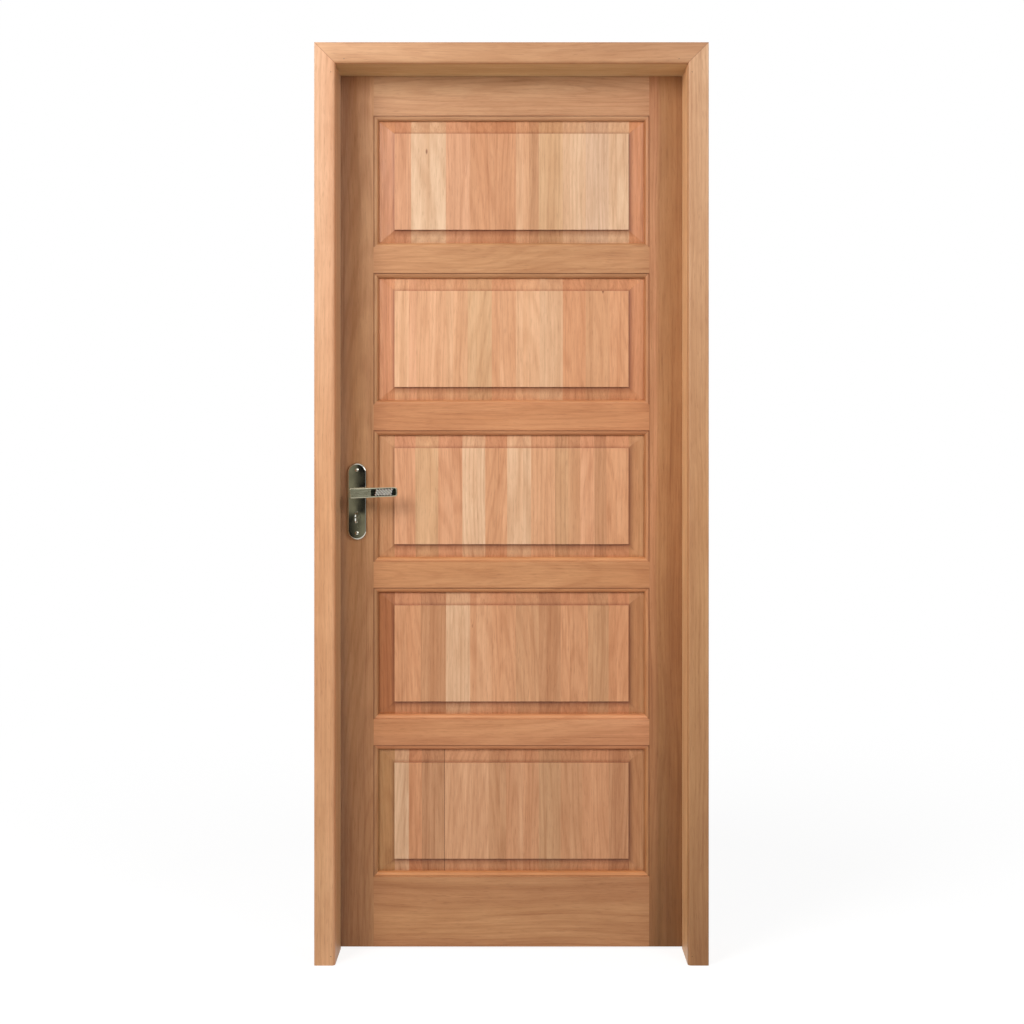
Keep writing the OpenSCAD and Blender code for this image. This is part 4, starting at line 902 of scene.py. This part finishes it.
def grip_mesh(name):
    blank = into_scene(name, bpy.data.meshes.new(name))
    studs = blank.modifiers.new("studs", "NODES")
    studs.node_group = stud_tree
    for socket in stud_tree.interface.items_tree:
        if socket.in_out == "INPUT" and socket.name in GRIP:
            studs[socket.identifier] = GRIP[socket.name]
    graph = bpy.context.evaluated_depsgraph_get()
    made = bpy.data.meshes.new_from_object(blank.evaluated_get(graph))
    blank.modifiers.remove(studs)
    blank.data = made
    return blank


def seat_grip(name, body, behind):
    grip = grip_mesh(name)
    upright = Matrix.Rotation(math.radians(90), 4, "X")
    on_face = Matrix.Translation((GRIP_MIDDLE, FACE_Y, 0)) @ Matrix.Rotation(FACE_SLOPE, 4, "Z")
    tilted = Matrix.Translation(LEVER_AXIS) @ Matrix.Rotation(-LEVER_TILT, 4, "Y")
    grip.data.transform(tilted @ on_face @ upright)
    if behind:
        mirror = Matrix.Scale(-1, 4, (0, 1, 0))
        grip.data.transform(Matrix.Translation((0, 2 * LEAF_MIDDLE_Y, 0)) @ mirror)
        grip.data.flip_normals()
    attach(grip, body)
    print(name, len(grip.data.polygons), "faces")


seat_grip("front_grip_studs", "handle", behind=False)
seat_grip("rear_grip_studs", "handle", behind=True)

# %% [markdown]
# ## Latch spring
# Inside the lock case a coil spring pushes the latch out. When the lever draws the latch back the
# coil is pressed together, and the latch would run through a stiff one. A copy of the coil takes
# its place, rides with the leaf and has a mesh of its own. The copy's triangles are joined first,
# because a node's mesh is loose triangles.

# %% Latch spring
coil = into_scene("latch_coil", parts["latch_spring"].data.copy())
wire = bmesh.new()
wire.from_mesh(coil.data)
bmesh.ops.remove_doubles(wire, verts=wire.verts, dist=1e-6)
wire.to_mesh(coil.data)
wire.free()
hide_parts("latch_spring")
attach(coil, "leaf")
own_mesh(coil)

# %% [markdown]
# ## Floor and background
# The door stands on a white floor in front of white. A lamp on the floor would make it white too,
# but would light the door from below. So the floor's own paint is mixed with a glow that only the
# camera and reflections see. Close to the door it is partly ordinary matt paint, so that a faint
# shadow stays under the jambs; further off it is plain white.

# %% Floor
FLOOR_HALF = 30
NEAR, FAR = 1.2, 3.5
NEAR_GLOW, NEAR_SHARE = 1.2, 0.72


def seen_directly(tree):
    path = put(tree, "ShaderNodeLightPath").outputs
    rays = [path[f"Is {kind} Ray"] for kind in ("Camera", "Glossy", "Transmission")]
    return chain(tree, "MAXIMUM", *rays)


def card(name, corners, material):
    mesh = bpy.data.meshes.new(name)
    mesh.from_pydata(corners, [], [(0, 1, 2, 3)])
    mesh.materials.append(material)
    made = into_scene(name, mesh)
    return made


floor_paint, tree, matt = new_material("floor_paint")
matt.inputs["Base Color"].default_value = (0.82, 0.82, 0.82, 1)
matt.inputs["Roughness"].default_value = 0.9
reach = put(tree, "ShaderNodeVectorMath", operation="LENGTH")
tree.links.new(place_on(tree), reach.inputs[0])
far = stretch(tree, reach.outputs["Value"], NEAR, FAR)
glow = put(tree, "ShaderNodeEmission")
tree.links.new(stretch(tree, far, 0.0, 1.0, NEAR_GLOW, 1.0), glow.inputs["Strength"])
share = stretch(tree, far, 0.0, 1.0, NEAR_SHARE, 1.0)
mixed = put(tree, "ShaderNodeMixShader")
tree.links.new(sum_of(tree, "MULTIPLY", seen_directly(tree), share), mixed.inputs[0])
tree.links.new(matt.outputs[0], mixed.inputs[1])
tree.links.new(glow.outputs[0], mixed.inputs[2])
tree.links.new(mixed.outputs[0], tree.nodes["Material Output"].inputs["Surface"])
corners = [(-FLOOR_HALF, -FLOOR_HALF, 0), (FLOOR_HALF, -FLOOR_HALF, 0),
           (FLOOR_HALF, FLOOR_HALF, 0), (-FLOOR_HALF, FLOOR_HALF, 0)]
floor = card("floor", corners, floor_paint)
print("floor", [round(v, 1) for v in floor.dimensions])

# %% [markdown]
# ## Dark card
# Polished metal only looks polished when it has something dark to show. A photographer hangs
# a black card behind the camera for that. A picture of a room round the scene would do it too, but
# a card is simple and can be placed. Here only reflections see it: it is hidden from the camera,
# throws no shadow and takes no light from the door. Its quarters are grey and black by turns, so
# the plate shows two tones that meet in crossing edges. A black wing on the right darkens the
# plate's right rim and leaves a thin bright line inside it.

# %% Dark card
CARD_TOP = 2.4
QUARTERS_X, QUARTERS_Z = (-0.876, -0.852), (0.806, 0.833)
CARD_GREY, CARD_BLACK = (0.29, 0.28, 0.20, 1), (0.012, 0.012, 0.012, 1)
WING_BLACK = (0.02, 0.02, 0.02, 1)


def standing_card(name, left, right, material):
    made = card(name, [(*left, 0), (*right, 0), (*right, CARD_TOP), (*left, CARD_TOP)], material)
    for ray in ("camera", "diffuse", "shadow", "transmission", "volume_scatter"):
        setattr(made, "visible_" + ray, False)
    print(name, [round(v, 1) for v in made.dimensions])


card_paint, tree, matt = new_material("dark_card")
matt.inputs["Base Color"].default_value = (0, 0, 0, 1)
matt.inputs["Specular IOR Level"].default_value = 0.0
matt.inputs["Emission Strength"].default_value = 1.0
x, _, z = axes_of(tree, place_on(tree))
to_right = stretch(tree, x, *QUARTERS_X, -1.0, 1.0)
to_top = stretch(tree, z, *QUARTERS_Z, -1.0, 1.0)
black = stretch(tree, sum_of(tree, "MULTIPLY", to_right, to_top), -1.0, 1.0)
tree.links.new(blend_colours(tree, black, CARD_GREY, CARD_BLACK), matt.inputs["Emission Color"])
standing_card("dark_card", (-2.2, -4.6), (2.2, -4.6), card_paint)
wing_paint, _, matt = new_material("dark_wing")
matt.inputs["Base Color"].default_value = WING_BLACK
standing_card("dark_wing", (3.5, -4.6), (4.0, -0.6), wing_paint)

# %% [markdown]
# ## Light
# Two large soft lamps stand in front of the door, high and to the sides. A sun lamp would be
# simpler, but it lights the whole door alike. The left lamp is stronger and close enough to fall
# off across the door, so the top left is brightest and the left reveal throws its soft shade on
# the stile. The white surroundings fill the rest at a low level.

# %% Lamps and surroundings
FILL = 0.30
LAMP_TARGET, LAMP_SIZE = Vector((0.0, 0.1, 1.2)), 1.5

world = bpy.data.worlds.new("white_surroundings")
bpy.context.scene.world = world
world.use_nodes = True
tree = world.node_tree
sky = tree.nodes["Background"]
sky.inputs["Color"].default_value = (1, 1, 1, 1)
tree.links.new(stretch(tree, seen_directly(tree), 0.0, 1.0, FILL, 1.0), sky.inputs["Strength"])


def soft_lamp(name, place, power):
    data = bpy.data.lights.new(name, "AREA")
    data.shape = "DISK"
    data.size = LAMP_SIZE
    data.energy = power
    lamp = into_scene(name, data)
    lamp.location = place
    lamp.rotation_euler = (LAMP_TARGET - Vector(place)).to_track_quat("-Z", "Y").to_euler()
    print("lamp", name, power, "W")


soft_lamp("left_lamp", (-1.8, -2.2, 2.5), 62)
soft_lamp("right_lamp", (1.8, -2.3, 2.4), 30)

# %% [markdown]
# ## Colours
# The Standard view shows each colour as it was written, which is what a catalogue wants.

# %% View
bpy.context.scene.view_settings.view_transform = "Standard"
